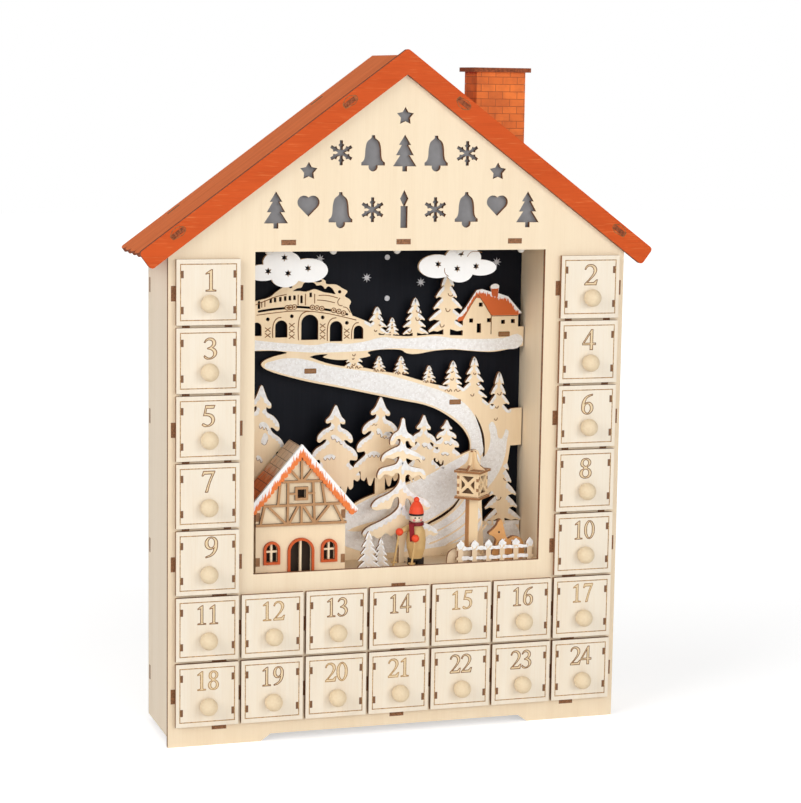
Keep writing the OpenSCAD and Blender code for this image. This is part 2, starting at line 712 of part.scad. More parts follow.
// Tall fir: reach and drop of one side's outline, as shares of half its width and of its crown
forest_side_shares = [[0.05, 0.01], [0.12, 0.05], [0.25, 0.12], [0.4, 0.16], [0.4, 0.195], [0.3, 0.2],
    [0.2, 0.19], [0.24, 0.235], [0.5, 0.27], [0.72, 0.33], [0.76, 0.39], [0.66, 0.41], [0.5, 0.38],
    [0.38, 0.38], [0.5, 0.425], [0.8, 0.475], [0.97, 0.54], [0.96, 0.6], [0.82, 0.605], [0.66, 0.6],
    [0.64, 0.64], [0.85, 0.69], [1.08, 0.75], [1.1, 0.81], [0.98, 0.84], [0.82, 0.82], [0.8, 0.9],
    [0.66, 0.93], [0.56, 0.89], [0.48, 0.97], [0.36, 0.98], [0.26, 0.9]];
near_side_shares = [[0.04, 0.01], [0.07, 0.052], [0.13, 0.087], [0.26, 0.113], [0.33, 0.156],
    [0.31, 0.187], [0.21, 0.178], [0.15, 0.148], [0.07, 0.15], [0.1, 0.19], [0.26, 0.209],
    [0.48, 0.243], [0.55, 0.28], [0.51, 0.3], [0.42, 0.272], [0.26, 0.28], [0.09, 0.265], [0.16, 0.313],
    [0.36, 0.33], [0.58, 0.348], [0.65, 0.4], [0.57, 0.415], [0.45, 0.383], [0.26, 0.4], [0.17, 0.376],
    [0.08, 0.39], [0.09, 0.44], [0.2, 0.485], [0.39, 0.522], [0.67, 0.557], [0.79, 0.605], [0.66, 0.63],
    [0.48, 0.622], [0.3, 0.62], [0.22, 0.56], [0.1, 0.545], [0.09, 0.61], [0.26, 0.66], [0.55, 0.704],
    [0.9, 0.748], [1.01, 0.79], [0.9, 0.81], [0.77, 0.8], [0.58, 0.826], [0.42, 0.79], [0.26, 0.81],
    [0.13, 0.78]];
// The other side of a tall fir reaches less far and hangs a little lower.
far_side_reach_share = 0.93;
far_side_drop_share = 0.015;
hem_share = 0.9;
// A tall fir on the scene at [place, foot, top, width, crown] given as shares
module tall_fir(s, side, trunk) {
    half = s[3] * scene_w / 2;
    crown = s[4] * scene_h;
    foot_z = (s[1] - s[2]) * scene_h;
    stem = trunk * half;
    hem = -hem_share * crown;
    left = [for (p = curve(side)) [p[0] * half, -p[1] * crown]];
    right = [for (p = left)
        [p[0] * far_side_reach_share, p[1] + max(p[1] / trunk, -crown) * far_side_drop_share]];
    translate([nx(s[0]), nz(s[2])]) polygon(concat([[0, 0]], right,
        [[stem, hem], [stem, foot_z], [-stem, foot_z], [-stem, hem]], other_side(left, 0)));
}

// Landscape board: the railway bridge, the cottage and the winding road

ground_low_shares = [[0.12, 0.664], [0.167, 0.663], [0.204, 0.656], [0.16, 0.646], [0.126, 0.632],
    [0.122, 0.617], [0.157, 0.598], [0.263, 0.569], [0.371, 0.547], [0.48, 0.524], [0.581, 0.502],
    [0.66, 0.486], [0.721, 0.462], [0.783, 0.42], [0.815, 0.379], [0.822, 0.343], [0.805, 0.305],
    [0.77, 0.25], [0.75, 0.16]];
ground_right_shares = [[0.8, 0.112], [0.82, 0.14], [0.86, 0.172], [0.9, 0.206], [0.935, 0.245],
    [0.952, 0.285], [0.962, 0.348]];
road_top_shares = [[0.962, 0.465], [0.93, 0.455], [0.88, 0.486], [0.83, 0.522], [0.78, 0.532],
    [0.73, 0.541], [0.667, 0.556], [0.579, 0.582], [0.515, 0.593], [0.457, 0.605], [0.401, 0.609],
    [0.334, 0.622], [0.277, 0.642]];
plateau_low_shares = [[0.277, 0.642], [0.3, 0.648], [0.337, 0.649], [0.322, 0.64], [0.37, 0.631],
    [0.43, 0.633], [0.478, 0.641], [0.47, 0.653], [0.514, 0.66], [0.578, 0.658], [0.6, 0.647],
    [0.636, 0.644], [0.698, 0.653], [0.76, 0.655], [0.815, 0.65], [0.881, 0.645], [0.93, 0.649],
    [1, 0.662]];
plateau_top_shares = [[0.98, 0.703], [0.79, 0.698], [0.7, 0.703], [0.6, 0.699], [0.5, 0.705],
    [0.4, 0.69], [0.3, 0.688], [0.2, 0.7], [0.1, 0.705], [0, 0.7]];
train_shares = [[0, 0.775], [0, 0.795], [0.06, 0.803], [0.102, 0.815], [0.144, 0.825], [0.166, 0.841],
    [0.195, 0.86], [0.225, 0.884], [0.262, 0.89], [0.306, 0.881], [0.326, 0.874], [0.331, 0.863],
    [0.362, 0.861], [0.382, 0.85], [0.4, 0.84], [0.391, 0.826], [0.405, 0.817], [0.412, 0.807],
    [0.406, 0.791], [0.419, 0.763]];
bridge_end_shares = [[0.42, 0.765], [0.476, 0.742], [0.492, 0.72], [0.49, 0.69]];
smoke_hole_shares = [[0.22, 0.843], [0.234, 0.851], [0.249, 0.854], [0.256, 0.867], [0.272, 0.87],
    [0.29, 0.867], [0.299, 0.859], [0.312, 0.86], [0.322, 0.854], [0.326, 0.848], [0.336, 0.856],
    [0.348, 0.851], [0.356, 0.84], [0.36, 0.832], [0.342, 0.835], [0.323, 0.838], [0.306, 0.844],
    [0.29, 0.848], [0.265, 0.841], [0.244, 0.843]];
// Small holes in the smoke: middle, half width and half height
smoke_dot_shares = [[0.302, 0.873, 0.014, 0.0045], [0.213, 0.856, 0.006, 0.004],
    [0.374, 0.839, 0.006, 0.0055]];
// Arches of the bridge: middle, foot, crown and half width
arch_shares = [[0.104, 0.709, 0.75, 0.016], [0.184, 0.703, 0.755, 0.02], [0.277, 0.694, 0.771, 0.028],
    [0.364, 0.688, 0.75, 0.021], [0.438, 0.694, 0.735, 0.016]];
round_hole_shares = [[0.14, 0.759], [0.218, 0.767], [0.319, 0.762], [0.399, 0.744]];
round_hole_share = 0.0062;
coach_window_shares = [[0.149, 0.815], [0.163, 0.817], [0.18, 0.819], [0.196, 0.821], [0.211, 0.822],
    [0.226, 0.823], [0.279, 0.831]];
coach_window_share = 0.008;
door_shares = [[0.111, 0.803], [0.249, 0.818]];
wheel_slot_shares = [[0.111, 0.783], [0.155, 0.789], [0.197, 0.792], [0.233, 0.795], [0.275, 0.792],
    [0.318, 0.787], [0.35, 0.782], [0.4, 0.77]];
wheel_shares = [[0.203, 0.793], [0.214, 0.794], [0.226, 0.795], [0.285, 0.793], [0.3, 0.791],
    [0.316, 0.789], [0.355, 0.783], [0.372, 0.779], [0.388, 0.774]];
wheel_share = 0.0088;
slot_share = 0.0075;
cottage_wall_shares = [[0.79, 0.68], [0.79, 0.75], [0.835, 0.83], [0.87, 0.79], [0.98, 0.76],
    [0.98, 0.68]];
cottage_roof_shares = [[0.767, 0.751], [0.775, 0.742], [0.79, 0.745], [0.83, 0.81], [0.85, 0.81],
    [0.885, 0.759], [0.979, 0.759], [0.992, 0.766], [0.944, 0.817], [0.909, 0.828], [0.912, 0.848],
    [0.882, 0.848], [0.886, 0.832], [0.854, 0.841], [0.835, 0.838], [0.799, 0.786]];
cottage_window_shares = [[0.85, 0.793], [0.818, 0.744], [0.879, 0.744], [0.928, 0.738], [0.962, 0.74]];
cottage_window_share = 0.0133;
cottage_door_shares = [0.845, 0.72, 0.0145, 0.029];
// Firs of the landscape: place, foot, top, width and tiers
far_fir_shares = [[0.499, 0.7, 0.792, 0.078, 4], [0.55, 0.7, 0.758, 0.05, 4],
    [0.627, 0.695, 0.818, 0.09, 5], [0.735, 0.695, 0.894, 0.139, 5], [0.424, 0.6, 0.676, 0.066, 4],
    [0.508, 0.588, 0.64, 0.05, 4], [0.582, 0.578, 0.638, 0.056, 4], [0.677, 0.55, 0.607, 0.052, 4],
    [0.759, 0.52, 0.62, 0.078, 5], [0.832, 0.49, 0.631, 0.09, 5], [0.919, 0.4, 0.582, 0.1, 5],
    [0.937, 0.09, 0.32, 0.135, 5]];
road_slit_shares = [[0.837, 0.452], [0.858, 0.416], [0.872, 0.373], [0.874, 0.32], [0.868, 0.318],
    [0.864, 0.365], [0.851, 0.412]];
spacer_shares = [[0.28, 0.599], [0.768, 0.491], [0.932, 0.7]];
spacer_w = 10;
spacer_d = landscape_d + board_t + glue;
module round_plate(shares) {
    polygon(in_scene(curve(shares)));
}
module arch(half_w, low, high) {
    translate([-half_w, low]) square([2 * half_w, high - low - half_w]);
    translate([0, high - half_w]) circle(half_w, $fn = 28);
}
module landscape_outline() {
    polygon(in_scene(concat([[0, 0.664]], curve(ground_low_shares),
        [[0.76, floor_share], [1, floor_share], [1, 0.108]], curve(ground_right_shares),
        [[1, 0.349], [1, 0.467]], curve(road_top_shares), curve(plateau_low_shares),
        [[1, 0.723], [0.98, 0.722]], curve(plateau_top_shares))));
    polygon(in_scene(concat([[0, 0.68]], curve(train_shares), curve(bridge_end_shares))));
    polygon(in_scene(cottage_wall_shares));
    polygon(in_scene(cottage_roof_shares));
    for (s = far_fir_shares) scene_fir(s);
}
module strip_along(points, w) {
    offset(r = w, $fn = 12)
        polygon(concat(points, [for (i = [len(points) - 1:-1:0]) points[i] - [0, tiny]]));
}
module landscape_cuts() {
    for (s = arch_shares) translate([nx(s[0]), 0]) arch(s[3] * scene_w, nz(s[1]), nz(s[2]));
    for (s = round_hole_shares) translate([nx(s[0]), nz(s[1])]) circle(round_hole_share * scene_w, $fn = 12);
    for (s = coach_window_shares) translate([nx(s[0]), nz(s[1])])
        square([coach_window_share * scene_w, coach_window_share * scene_h * 7 / 4], center = true);
    for (s = door_shares) translate([nx(s[0]), 0])
        arch(coach_window_share * scene_w / 2, nz(s[1] - 3 * coach_window_share / 2),
            nz(s[1] + 3 * coach_window_share / 2));
    difference() {
        strip_along(in_scene(curve(wheel_slot_shares)), slot_share * scene_w / 2);
        for (s = wheel_shares) translate([nx(s[0]), nz(s[1])])
            circle(4 * wheel_share * scene_w / 5, $fn = 12);
    }
    for (s = wheel_shares) translate([nx(s[0]), nz(s[1])]) circle(wheel_share * scene_w / 3, $fn = 8);
    round_plate(smoke_hole_shares);
    round_plate(road_slit_shares);
    for (s = cottage_window_shares) translate([nx(s[0]), nz(s[1])])
        square(cottage_window_share * scene_w, center = true);
    translate([nx(cottage_door_shares[0]), nz(cottage_door_shares[1])])
        square([cottage_door_shares[2] * scene_w, cottage_door_shares[3] * scene_h], center = true);
    for (s = smoke_dot_shares) translate([nx(s[0]), nz(s[1])])
        scale([s[2] * scene_w, s[3] * scene_h]) circle(1, $fn = 10);
    for (s = spacer_shares) slot(nx(s[0]), nz(s[1]), foot_len, board_t);
}
module landscape_board() {
    color("tan") {
        upright(landscape_d, board_t) offset(delta = tiny) {
            difference() {
                landscape_outline();
                landscape_cuts();
            }
            for (s = landscape_feet_shares) foot(nx(s), foot_len);
        }
        for (s = spacer_shares) level(nz(s[1]) - board_t / 2, board_t) translate([nx(s[0]), 0]) {
            area(-foot_len / 2, foot_len / 2, landscape_d, spacer_d + tiny);
            area(-spacer_w / 2, spacer_w / 2, spacer_d, back_d - glue);
        }
    }
}

// Forest board: tall snowy firs on a hill, as place, foot, top, width and crown

forest_fir_shares = [[0.11, 0.17, 0.566, 0.164, 0.332], [0.353, 0.16, 0.499, 0.16, 0.278],
    [0.502, 0.19, 0.52, 0.16, 0.278], [0.648, 0.24, 0.46, 0.118, 0.22],
    [0.726, 0.28, 0.442, 0.092, 0.14]];
forest_trunk_share = 0.21;
hill_shares = [[0, 0.21], [0.1, 0.2], [0.22, 0.185], [0.33, 0.165], [0.386, 0.176], [0.436, 0.203],
    [0.5, 0.225], [0.57, 0.244], [0.671, 0.281], [0.772, 0.331], [0.82, 0.346], [0.838, 0.335],
    [0.845, 0.28], [0.85, 0.18], [0.858, 0.06]];
hill_slit_shares = [[0.66, 0.12], [0.71, 0.145], [0.75, 0.172], [0.776, 0.202], [0.779, 0.199],
    [0.754, 0.165], [0.714, 0.137], [0.662, 0.114]];
module forest_board() {
    color("tan") upright(forest_d, board_t) {
        soften(bough_round / 3) difference() {
            union() {
                polygon(in_scene(concat([[0, floor_share]], curve(hill_shares), [[0.86, floor_share]])));
                intersection() {
                    union() for (s = forest_fir_shares)
                        tall_fir(s, forest_side_shares, forest_trunk_share);
                    area(-scene_w / 2, scene_w / 2, floor_z, ceiling_z);
                }
            }
            round_plate(hill_slit_shares);
        }
        for (s = forest_feet_shares) foot(nx(s), foot_len);
    }
}

// The tall fir in front, with long drooping boughs

near_fir_top_share = 0.465;
near_fir_w_share = 0.26;
near_trunk_share = 0.07;
module near_fir() {
    color("tan") upright(near_fir_d, board_t) {
        soften(bough_round / 3) tall_fir([near_fir_share, floor_share, near_fir_top_share, near_fir_w_share,
            near_fir_top_share - floor_share], near_side_shares, near_trunk_share);
        foot(nx(near_fir_share), foot_len);
    }
}

// Two clouds hanging from the attic floor

cloud_place_shares = [[0.152, 0.926, 1], [0.715, 0.934, -1]];
// Lobes of a cloud: middle and radii, as shares of its width
cloud_lobe_shares = [[-0.278, -0.051, 0.202, 0.097], [-0.048, 0.075, 0.23, 0.136],
    [0.283, -0.03, 0.237, 0.143], [-0.004, -0.103, 0.172, 0.126], [0, 0, 0.2, 0.1]];
cloud_star_shares = [[-0.018, 0.125], [-0.216, -0.034], [0.273, -0.004], [0.028, -0.062]];
cloud_star_share = 0.046;
cloud_stem_share = 0.16;
module cloud(turn) {
    difference() {
        offset(delta = tiny, $fn = 20) for (s = cloud_lobe_shares) translate([turn * s[0], s[1]] * cloud_w)
            scale([s[2], s[3]] * cloud_w) circle(1, $fn = 60);
        for (s = cloud_star_shares) translate([turn * s[0], s[1]] * cloud_w)
            star(6, cloud_star_share * cloud_w, 1 / 2);
    }
}
module clouds() {
    color("white") for (s = cloud_place_shares) upright(cloud_d, board_t) {
        intersection() {
            translate([nx(s[0]), nz(s[1])]) cloud(s[2]);
            area(-scene_w / 2, scene_w / 2, floor_z, ceiling_z - fit);
        }
        area(nx(s[0]) - cloud_stem_share * cloud_w / 2, nx(s[0]) + cloud_stem_share * cloud_w / 2,
            nz(s[1]) + cloud_star_share * cloud_w * 4, ceiling_z + ply);
    }
}

// The little half-timbered house

house_slope = tan(house_pitch);
house_eave = floor_z + house_wall_h;
house_ridge = house_eave + house_slope * house_w / 2;
house_back = house_d + house_depth;
// Arched openings of the front wall: middle, sill, crown, half width and whether they have a cross
opening_shares = [[-0.325, 0.202, 0.454, 0.0635, true], [0, 0.04, 0.487, 0.12, false],
    [0.316, 0.202, 0.454, 0.0635, true]];
frame_share = 0.028;
mullion_share = 0.022;
cross_share = 0.345;
gable_window_share = 0.092;
gable_window_rise_share = 0.199;
module house_gable() {
    half = house_w / 2;
    polygon([[-half, floor_z], [half, floor_z], [half, house_eave - fit], [0, house_ridge - fit],
        [-half, house_eave - fit]]);
}
module wall_arches(grow) {
    for (s = opening_shares) translate([s[0] * house_w, 0]) arch(s[3] * house_w + grow,
        floor_z + s[1] * house_wall_h - grow, floor_z + s[2] * house_wall_h + grow);
}
module house_walls() {
    m = mullion_share * house_w;
    cross_z = floor_z + cross_share * house_wall_h;
    translate([-house_x, 0, 0]) color("wheat") {
        upright(house_d, house_t) {
            difference() {
                house_gable();
                wall_arches(0);
                translate([0, timber_z(gable_window_rise_share)])
                    square(gable_window_share * house_w, center = true);
            }
            for (s = opening_shares) translate([s[0] * house_w, 0]) {
                area(-m / 2, m / 2, floor_z, floor_z + s[2] * house_wall_h + tiny);
                if (s[4])
                    area(-s[3] * house_w - tiny, s[3] * house_w + tiny, cross_z - m / 2, cross_z + m / 2);
            }
            foot(-house_w / 4, foot_len);
        }
        upright(house_back - house_t, house_t) {
            house_gable();
            foot(-house_w / 4, foot_len);
        }
        for (x = [-house_w / 2, house_w / 2 - house_t]) sideways(x, house_t)
            area(house_d + house_t + glue, house_back - house_t - glue, floor_z,
                house_eave - house_t * house_slope);
    }
}
// Timbers as pairs of ends: across as shares of the width, up as shares of the gable's height
timber_shares = [[-0.5, -0.38, 0.5, -0.38], [-0.42, -0.017, 0.42, -0.017], [-0.21, 0.428, 0.21, 0.428],
    [-0.413, -0.05, -0.456, -0.38], [-0.356, -0.05, -0.176, -0.36], [-0.15, 0.428, -0.155, -0.38],
    [-0.13, -0.34, -0.04, -0.05], [0, -0.017, 0, -0.38], [0.026, -0.05, 0.134, -0.34],
    [0.127, 0.428, 0.148, -0.38], [0.17, -0.34, 0.307, -0.05], [0.37, -0.05, 0.465, -0.36],
    [-0.24, 0.38, -0.262, -0.017], [0.227, 0.38, 0.263, -0.017], [0, 0.428, 0, 0.82],
    [-0.13, 0.66, -0.017, 0.44], [0.13, 0.68, 0.019, 0.44]];
module bar(p, q, w) {
    v = q - p;
    translate(p) rotate(atan2(v[1], v[0])) translate([-w / 4, -w / 2]) square([norm(v) + w / 2, w]);
}
function timber_z(s) = house_eave + s * (house_ridge - house_eave);
module house_timbering() {
    hole = gable_window_share * house_w;
    translate([-house_x, 0, 0]) color("peru") upright(house_d - timber_t, timber_t - glue) difference() {
        offset(delta = tiny) {
            for (s = timber_shares)
                bar([s[0] * house_w, timber_z(s[1])], [s[2] * house_w, timber_z(s[3])], beam_w);
            translate([0, timber_z(gable_window_rise_share)]) {
                square(hole + 2 * beam_w, center = true);
                square([-2 * timber_shares[5][0] * house_w, 2 * beam_w / 3], center = true);
            }
        }
        translate([0, timber_z(gable_window_rise_share)]) square(hole, center = true);
        house_barge_area(fit);
    }
}
module on_house_slope() {
    translate([0, front_y, house_ridge]) rotate([0, house_pitch, 0]) children();
}
// The sheets' underside runs from the ridge; lengths are measured down the slope.
house_barge_x = house_w / 2 + house_eave_out;
house_sheet_len = (house_barge_x - tile_t * sin(house_pitch)) / cos(house_pitch);
house_ridge_cut = 4 * tile_t;
module house_roof() {
    cut = house_ridge_cut;
    color("orangered") translate([-house_x, 0, 0]) for (side = [0, 1]) mirror([side, 0, 0]) difference() {
        on_house_slope() linear_extrude(tile_t) area(-cut, house_sheet_len, house_d, house_back);
        translate([-2 * cut, front_y, house_ridge - 2 * cut])
            cube([2 * cut + glue / 2, 2 * house_back, 4 * cut]);
    }
}
function house_point(u, n) = [u * cos(house_pitch) + n * sin(house_pitch),
    house_ridge - u * sin(house_pitch) + n * cos(house_pitch)];
house_scallops = 16;
house_barge_proud = 1.2;
module house_barge_area(grow) {
    high = tile_t + house_barge_proud;
    low = high - house_barge_w;
    u = (house_barge_x - high * sin(house_pitch)) / cos(house_pitch);
    outer = house_point(u, high);
    inner = house_point(u, low);
    offset(delta = grow) soften(bough_round) {
        polygon([[0, house_ridge + high / cos(house_pitch)], outer, inner,
            [0, house_ridge + low / cos(house_pitch)], [-inner[0], inner[1]], [-outer[0], outer[1]]]);
        both_sides() for (i = [1:house_scallops])
            translate(house_point(u * (i - 1 / 2) / house_scallops, low))
                circle(11 * u / (20 * house_scallops), $fn = 24);
    }
}
module house_bargeboard() {
    translate([-house_x, 0, 0]) color("orangered") upright(house_d - timber_t - house_barge_proud / 2,
        timber_t + house_barge_proud / 2 - glue) house_barge_area(0);
}
module house_trims() {
    t = timber_t - glue;
    translate([-house_x, 0, 0]) color("orangered") upright(house_d - timber_t, t) difference() {
        intersection() {
            wall_arches(frame_share * house_w);
            area(-house_w, house_w, floor_z, house_ridge);
        }
        wall_arches(0);
        area(-opening_shares[1][3] * house_w, opening_shares[1][3] * house_w, floor_z - tiny,
            window_low);
    }
}

// Street lantern on a post, turned to show a corner

plate_over_share = 1.16;
roof_over_share = 1.2;
lattice_share = 0.13;
ogee_shares = [[0.62, 0], [0.5, 0.12], [0.34, 0.26], [0.22, 0.48], [0.17, 0.72], [0.17, 0.9],
    [0.08, 1]];
lantern_turn = 48;
lantern_roof_h = 13;
module cage_pane() {
    b = lattice_share * lantern_w;
    difference() {
        area(-lantern_w / 2, lantern_w / 2, 0, cage_h);
        area(-lantern_w / 2 + 3 * b / 2, lantern_w / 2 - 3 * b / 2, b, cage_h - b);
    }
    translate([0, cage_h / 2]) intersection() {
        square([lantern_w - 2 * b, cage_h - b], center = true);
        union() {
            for (s = [-1, 1]) rotate(s * 45) square([b, 2 * cage_h], center = true);
            circle(b, $fn = 24);
        }
    }
}
module lantern() {
    base_z = floor_z + post_h;
    cage_z = base_z + lantern_t + glue;
    roof_z = cage_z + cage_h + glue;
    half = lantern_w / 2;
    translate([nx(lantern_share), front_y + lantern_d, 0]) color("burlywood") {
        translate([-post_w / 2, -post_w / 2, floor_z - stage_t + fit])
            cube([post_w, post_w, post_h + stage_t - 2 * fit]);
        translate([0, 0, base_z]) linear_extrude(lantern_t) rotate(lantern_turn)
            square(plate_over_share * lantern_w, center = true);
        rotate(lantern_turn) translate([0, 0, cage_z]) {
            for (y = [-half, half - lantern_t]) translate([0, y + lantern_t, 0]) rotate([90, 0, 0])
                linear_extrude(lantern_t) cage_pane();
            for (x = [-half, half - lantern_t]) translate([x, 0, 0]) rotate([90, 0, 90])
                linear_extrude(lantern_t) intersection() {
                    cage_pane();
                    area(-half + lantern_t + glue, half - lantern_t - glue, 0, cage_h);
                }
        }
        translate([0, 0, roof_z]) {
            linear_extrude(lantern_t) rotate(lantern_turn)
                square(roof_over_share * lantern_w, center = true);
            for (turn = [0, 90]) rotate([90, 0, lantern_turn + turn])
                translate([0, lantern_t - tiny, -lantern_t / 2]) linear_extrude(lantern_t) {
                    side = [for (p = curve(ogee_shares)) [p[0] * lantern_w, p[1] * lantern_roof_h]];
                    polygon(concat(side, other_side(side, 0)));
                }
        }
    }
}

// Turned wooden skier: boots, legs, body, head, hat, arms and poles

skier_share = 0.589;
skier_d = house_d + 25 * small_t / 4;
// Radius and height of the turned body from the boots to the neck, as shares of the height
body_shares = [[0, 0.07], [0.088, 0.07], [0.1, 0.13], [0.135, 0.25], [0.144, 0.37], [0.13, 0.5],
    [0.09, 0.58], [0.08, 0.6], [0, 0.6]];
head_share = 0.095;
head_z_share = 0.69;
hat_shares = [[0, 0.735], [0.108, 0.735], [0.109, 0.78], [0.09, 0.86], [0.045, 0.93], [0, 0.93]];
pompom_share = 0.042;
boot_share = 0.062;
boot_h_share = 0.1;
mitten_share = 0.056;
pole_share = 0.015;
basket_share = 0.05;
scarf_share = 0.11;
scarf_z_share = 0.61;
// Mittens: across, forward and up, and how far the pole's tip stands out, as shares of the height
mitten_places_share = [[-0.27, -0.05, 0.505, 0.09], [-0.065, -0.165, 0.42, 0.055]];
shoulder_share = 0.1;
module turned(shares) {
    rotate_extrude($fn = 48) polygon([for (p = shares) p * skier_h]);
}
module skier() {
    translate([nx(skier_share), front_y + skier_d, floor_z]) color("burlywood") {
        for (s = [-1, 1]) translate([s * boot_share * skier_h, 0, 0])
            cylinder(r = boot_share * skier_h - glue, h = boot_h_share * skier_h, $fn = 40);
        turned(body_shares);
        translate([0, 0, scarf_z_share * skier_h]) cylinder(r = scarf_share * skier_h,
            h = head_share * skier_h / 2, center = true, $fn = 40);
        translate([0, 0, head_z_share * skier_h]) sphere(head_share * skier_h, $fn = 48);
        turned(hat_shares);
        translate([0, 0, (1 - pompom_share) * skier_h]) sphere(pompom_share * skier_h, $fn = 32);
        for (m = mitten_places_share) {
            hand = [m[0], m[1], m[2]] * skier_h;
            tip = [m[0] - m[3], m[1], 0] * skier_h;
            translate(hand) sphere(mitten_share * skier_h, $fn = 32);
            arm_from(tip, hand, pole_share * skier_h);
            translate(tip + (hand - tip) / 9)
                cylinder(r = basket_share * skier_h, h = pole_share * skier_h, $fn = 32);
            arm_from([m[0] < m[1] ? -shoulder_share : 0, 0, m[2] + mitten_share] * skier_h, hand,
                mitten_share * skier_h * 3 / 4);
        }
    }
}
module arm_from(p, q, r) {
    v = q - p;
    translate(p) rotate([0, acos(v[2] / norm(v)), atan2(v[1], v[0])])
        cylinder(r = r, h = norm(v), $fn = 24);
}

// Resting deer behind the fence

deer_shares = [[-0.53, 0.67], [-0.4, 0.755], [-0.3, 0.85], [-0.254, 0.933], [-0.17, 1], [-0.12, 0.895],
    [-0.085, 0.78], [-0.04, 0.635], [0.03, 0.505], [0.17, 0.56], [0.34, 0.545], [0.44, 0.47],
    [0.5, 0.33], [0.5, 0.07], [0.4, 0], [-0.29, 0], [-0.4, 0.07], [-0.42, 0.2], [-0.33, 0.38],
    [-0.3, 0.5], [-0.4, 0.587], [-0.5, 0.62]];
module deer() {
    color("sienna") upright(deer_d, deer_t) {
        translate([nx(deer_share), floor_z]) soften(bough_round) polygon([for (s = curve(deer_shares))
            [s[0] * deer_w, max(s[1], 0) * deer_h]]);
        foot(nx(deer_share) - deer_w / 5, foot_len / 2);
    }
}

// Picket fence and the two small firs

rail_shares = [0.294, 0.69];
rail_w = 2;
module fence() {
    tip = 4 * picket_w / 5;
    half = picket_w / 2;
    left = nx(fence_left_share);
    color("white") upright(fence_d, small_t) {
        for (i = [0:pickets - 1]) translate([picket_x(i), floor_z])
            polygon([[-half, 0], [half, 0], [half, fence_h - 2 * tip], [tip, fence_h - tip], [0, fence_h],
                [-tip, fence_h - tip], [-half, fence_h - 2 * tip]]);
        for (s = rail_shares) let (z = floor_z + s * fence_h)
            area(left, left + fence_w, z - rail_w / 2, z + rail_w / 2);
        for (i = [0, pickets - 1]) foot(picket_x(i), picket_w);
    }
}
little_fir_tiers = 5;
module little_firs() {
    color("tan") for (s = little_fir_shares) upright(little_fir_d + s[3] * fir_foot_w, small_t) {
        translate([little_fir_x(s[0]), floor_z])
            fir((s[1] - floor_share) * scene_h, s[2] * scene_w, little_fir_tiers);
        foot(little_fir_x(s[0]), fir_foot_w);
    }
    mound();
}
// Low mound of board between the fence and the lantern, a solid of the little firs' node
mound_shares = [[-0.5, 0], [-0.49, 0.4], [-0.44, 0.78], [-0.27, 0.98], [0, 1], [0.18, 0.9],
    [0.36, 0.56], [0.5, 0]];
module mound() {
    color("tan") upright(mound_d, small_t) offset(delta = tiny) {
        translate([nx(mound_share), floor_z])
            polygon([for (s = curve(mound_shares)) [s[0] * mound_w, s[1] * mound_h]]);
        foot(nx(mound_share), foot_len / 2);
    }
}

// Lamp board, battery case, cover, switch and batteries in the attic

bay_w = battery_len + 2 * bay_t + contact_room;
bay_h = 3 * (battery_d + 3 * fit) + 2 * bay_t + bay_slack;
case_w = bay_w + switch_bay_w;
case_z = attic_z + ply + bay_h;
case_front = back_d + ply - bay_depth;
rim_d = back_d + ply;
terminal_len = 1.2;
bay_x0 = -case_w / 2;
bay_x1 = bay_x0 + bay_w;
strip_t = 1.2;
module light_strip() {
    strip_top = attic_z + ply / 2 + strip_t;
    lamp_h = ply + strip_t + lamp_d;
    color("white") {
        level(attic_z + ply / 2, strip_t) area(lamp_x(0) - lamp_d * 2, lamp_x(lamps - 1) + lamp_d * 2,
            lamp_row_d - lamp_d, lamp_row_d + lamp_d);
        for (i = [0:lamps - 1]) translate([lamp_x(i), front_y + lamp_row_d, strip_top - lamp_h]) {
            cylinder(d = lamp_d, h = lamp_h, $fn = 32);
            sphere(d = lamp_d, $fn = 32);
        }
        for (i = [0:lamps - 2]) translate([lamp_x(i) + cell_w / 2, front_y + lamp_row_d, strip_top - tiny]) {
            cylinder(d = lamp_d, h = lamp_d / 2, $fn = 32);
            translate([0, 0, lamp_d / 2]) sphere(d = lamp_d, $fn = 32);
        }
    }
}
slider_w = 4.6;
slider_h = 3.4;
switch_slot_w = slider_w + switch_travel + 4 * fit;
switch_x = bay_x1 + (switch_bay_w - switch_slot_w) / 2;
module battery_case() {
    z0 = case_z - bay_h / 2;
    z1 = case_z + bay_h / 2;
    color("dimgray") difference() {
        union() {
            upright(case_front, bay_depth + tiny) area(bay_x0, -bay_x0, z0, z1);
            upright(rim_d, rim_t) area(bay_x0 - rim_w, rim_w - bay_x0, z0 - rim_w, z1 + rim_w);
        }
        upright(case_front + bay_t, bay_depth + 2 * rim_t)
            area(bay_x0 + bay_t, bay_x1 - bay_t, z0 + bay_t, z1 - bay_t);
        upright(case_front + bay_t, bay_depth - bay_t)
            area(bay_x1, -bay_x0 - bay_t, z0 + bay_t, z1 - bay_t);
        upright(rim_d - bay_t, 2 * bay_t + rim_t) area(switch_x, switch_x + switch_slot_w,
            case_z - slider_h / 2 - 2 * fit, case_z + slider_h / 2 + 2 * fit);
    }
}
cover_gap = 0.1;
thumb_r = 6;
